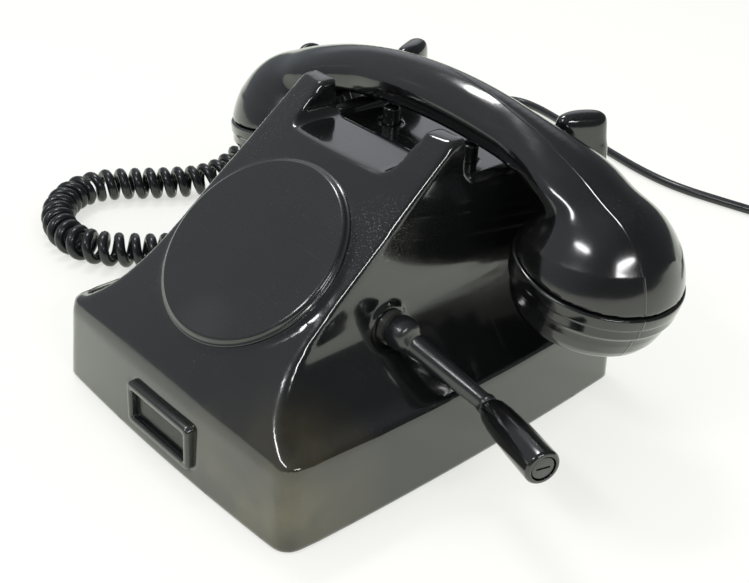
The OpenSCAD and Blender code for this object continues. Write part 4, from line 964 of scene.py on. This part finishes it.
def handset_moulding():
    """The handle and both heads as one moulding, with the hollows for the capsules."""
    stations = [-x for x in reversed(HALF_STATIONS)] + [0] + HALF_STATIONS
    bm = extruded_rings([handle_ring(x) for x in stations])
    for side in (-1, 1):
        bmesh.ops.recalc_face_normals(bm, faces=bm.faces)
        for tool in (turned(eased(DOME, 3.0), at_head(side), 96), bar(SEAT_R, -8, 2, at_head(side), 96)):
            bm = cut(bm, [tool], "UNION")
    bm = cut(bm, [bar(HOLLOW_R, -12, 8, at_head(side), 64) for side in (-1, 1)])
    bm = melted(bm, 0.75, 8)
    for start, rounds in ((34, 10), (40, 12), (46, 16), (51, 22), (56, 30), (61, 34), (66, 26), (0, 30)):
        smoothed(bm, [v for v in bm.verts if start < abs(v.co.x) < 112 and v.co.z > HEAD_Z + 10], rounds)
    finish_piece(bm, "handset_moulding", HANDSET, "handset", ["handset_handle"], sharp=180,
                 weld=0.0001)


handset_moulding()

CAP = [
    (0, -CAP_DROP), (12, -CAP_DROP + 0.2), (20, -CAP_DROP + 0.9), (25, -CAP_DROP + 2.3),
    (28, -CAP_DROP + 4.5), (CAP_R - 3.2, -18), (CAP_R - 2.2, -14), (CAP_R - 1.8, -10.6), (CAP_R - 0.7, -9.6),
    (CAP_R - 0.4, -8.8), (CAP_R - 0.6, -5.4), (CAP_R, -4.8), (CAP_R, -0.9), (CAP_R - 0.6, -0.3),
    (28.45, -0.3), (28.45, -8.1), (25, -8.1), (25, -20), (0, -20)]


def head_cap(side, name, node):
    """A screwed-on cap: a rim, a waist line, and a rounded face with its sound holes."""
    bm = turned(eased(CAP, 0.7, 3), at_head(side), 112)
    holes = arc(0, 0, 9, 0, 300, 5) + [(0, 0)]
    bm = cut(bm, [bar(1.5, -28, -18, at_head(side) @ Matrix.Translation((x, y, 0)), 16) for x, y in holes])
    finish_piece(bm, name, HANDSET, "handset", [node], sharp=45)


head_cap(1, "ear_cap_turned", "earpiece_cap")
head_cap(-1, "mouth_cap_turned", "mouthpiece_cap")

RELIEF = (Matrix.Translation((-HEAD_X, HEAD_Y, 84)) @ Matrix.Rotation(math.radians(135), 4, "Z")
          @ Matrix.Rotation(math.pi / 2, 4, "Y"))
relief_profile = [(0, 22), (4.4, 22), (4.4, 30)]
for rib in range(6):
    low = 31.5 + rib * 2.9
    r = 4.4 - 0.16 * rib
    relief_profile += [(r, low), (r, low + 1.6), (r - 0.75, low + 1.9), (r - 0.75, low + 2.7)]
relief_profile += [(3.4, 48.9), (0, 49)]
finish_piece(turned(eased(relief_profile, 0.3, 2), RELIEF, 48), "handset_cord_boot", RUBBER, "handset",
             ["handset_cord_relief"], sharp=50)

# -------------------------------------------------------------------- crank

HUB_X = SPOT_X + 4.1
HUB_L = 7.5
KNOB_POINT = Vector((86.0, -9.186, 35.5))
KNOB_YAW = math.radians(-17.5)
KNOB_L = 36.0
KNOB_R = 6.8
AT_KNOB = (Matrix.Translation(KNOB_POINT) @ Matrix.Rotation(KNOB_YAW, 4, "Z")
           @ Matrix.Rotation(math.pi / 2, 4, "Y"))
KNOB_WAY = Vector((math.cos(KNOB_YAW), math.sin(KNOB_YAW), 0))


def crank_arm():
    """The crank: a boss on the shaft that bends over into a tapering arm, and a collar at the knob."""
    hub = Vector((HUB_X, CRANK.y, CRANK.z))
    start = Vector((HUB_X + 3.6, CRANK.y + 1.6, CRANK.z - 2.6))
    end = KNOB_POINT - KNOB_WAY * 2.6
    path = spline([hub + Vector((1.5, 0, 0)), start, start.lerp(end, 0.35), start.lerp(end, 0.7), end], 8)
    count = len(path) - 1
    radii = [5.4 - 1.9 * min(1.0, (i / count) * 1.15) for i in range(count + 1)]
    bm = swept(path, radii, 28)
    boss = eased([(0, HUB_X), (6.3, HUB_X), (6.5, HUB_X + 0.6), (6.5, HUB_X + 3.6), (5.8, HUB_X + 6.2),
                  (3.8, HUB_X + HUB_L), (0, HUB_X + HUB_L)], 1.4)
    collar = eased([(0, -5), (2.9, -5), (4.1, -3.4), (4.1, -0.3), (0, -0.3)], 0.5)
    for profile, place in ((boss, ON_CRANK), (collar, AT_KNOB)):
        bm = cut(bm, [turned(profile, place, 48)], "UNION")
    bm = melted(bm, 0.4, 6)
    finish_piece(bm, "crank_arm_forged", LACQUER, "crank", ["crank_arm"], sharp=180, weld=0.0001)


crank_arm()
KNOB = [(2.6, 0.1), (3.6, 0.1), (4.6, 0.9), (5.4, 3.2), (6.1, 8), (6.5, 14), (6.7, 21), (KNOB_R, 30),
        (KNOB_R, KNOB_L - 0.9), (KNOB_R - 0.7, KNOB_L - 0.1), (KNOB_R - 1.4, KNOB_L), (4.9, KNOB_L),
        (4.9, KNOB_L - 2.1), (2.6, KNOB_L - 2.1), (2.6, 0.1)]
finish_piece(turned(eased(KNOB, 0.7), AT_KNOB, 96), "crank_knob_moulded", HANDSET, "knob",
             ["crank_knob"], sharp=45)
SPINDLE = [(0, -3.5), (2.5, -3.5), (2.5, KNOB_L - 1.9), (4.4, KNOB_L - 1.9), (4.4, KNOB_L - 0.4),
           (0, KNOB_L - 0.4)]
spindle = turned(eased(SPINDLE, 0.25, 3), AT_KNOB, 48)
screw_slot = prism(rounded_rect(0.8, 5.6, 0.35), AT_KNOB @ Matrix.Translation((0, 0, KNOB_L - 1.1)), 2)
finish_piece(cut(spindle, [screw_slot]), "knob_spindle_screw", LACQUER, "crank", ["knob_spindle"],
             sharp=45)

# ----------------------------------------------------------------- plungers

plunger_top = BELLY_Z - arch_drop(PLUNGER_X, BELLY_R) - SADDLE_GAP
PLUNGER = eased([(0, 80.6), (PLUNGER_R, 80.6), (PLUNGER_R, plunger_top - 0.9), (2.6, plunger_top - 0.1),
                 (0, plunger_top)], 0.8)
plungers = bmesh.new()
for x in (-PLUNGER_X, PLUNGER_X):
    one = turned(PLUNGER, Matrix.Translation((x, PLUNGER_Y, 0)), 48)
    spare = bpy.data.meshes.new("spare")
    one.to_mesh(spare)
    one.free()
    plungers.from_mesh(spare)
    bpy.data.meshes.remove(spare)
finish_piece(plungers, "cradle_plunger_pair", BLANK, "plungers", ["cradle_plungers"])

# -------------------------------------------- materials of the other solids

DRESS = {
    ZINC: ["base_plate", "switch_bracket", "hook_lever", "dial_clamp", "ringer_bracket"],
    STEEL: ["base_screws", "dial_clamp_screw", "crank_shaft", "magneto_end_plates", "magneto_tie_bolts",
            "magneto_pole_pieces", "magneto_armature", "armature_pinion", "ringer_yoke", "gong_posts",
            "gong_screws", "clapper_pivot", "lever_pin", "lever_spring", "receiver_capsule"],
    LACQUER: ["crank_bush"],
    BRASS: ["drive_gear", "gong_left", "gong_right", "clapper", "terminal_screws", "contact_springs",
            "transmitter_capsule"],
    MAGNET: ["magneto_magnets"],
    WINDING: ["armature_winding", "ringer_coils", "induction_coil"],
    CAN: ["capacitor"],
    FIBRE: ["terminal_block", "contact_block"],
    CARD: ["label_card"],
    CLEAR: ["label_window"],
    RUBBER: ["feet", "line_cord_bush", "handset_cord_bush", "coil_tie"],
    HANDSET: ["line_plug"],
}
for finish_here, names in DRESS.items():
    for name in names:
        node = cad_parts[name]
        node.data.materials.clear()
        node.data.materials.append(finish_here)
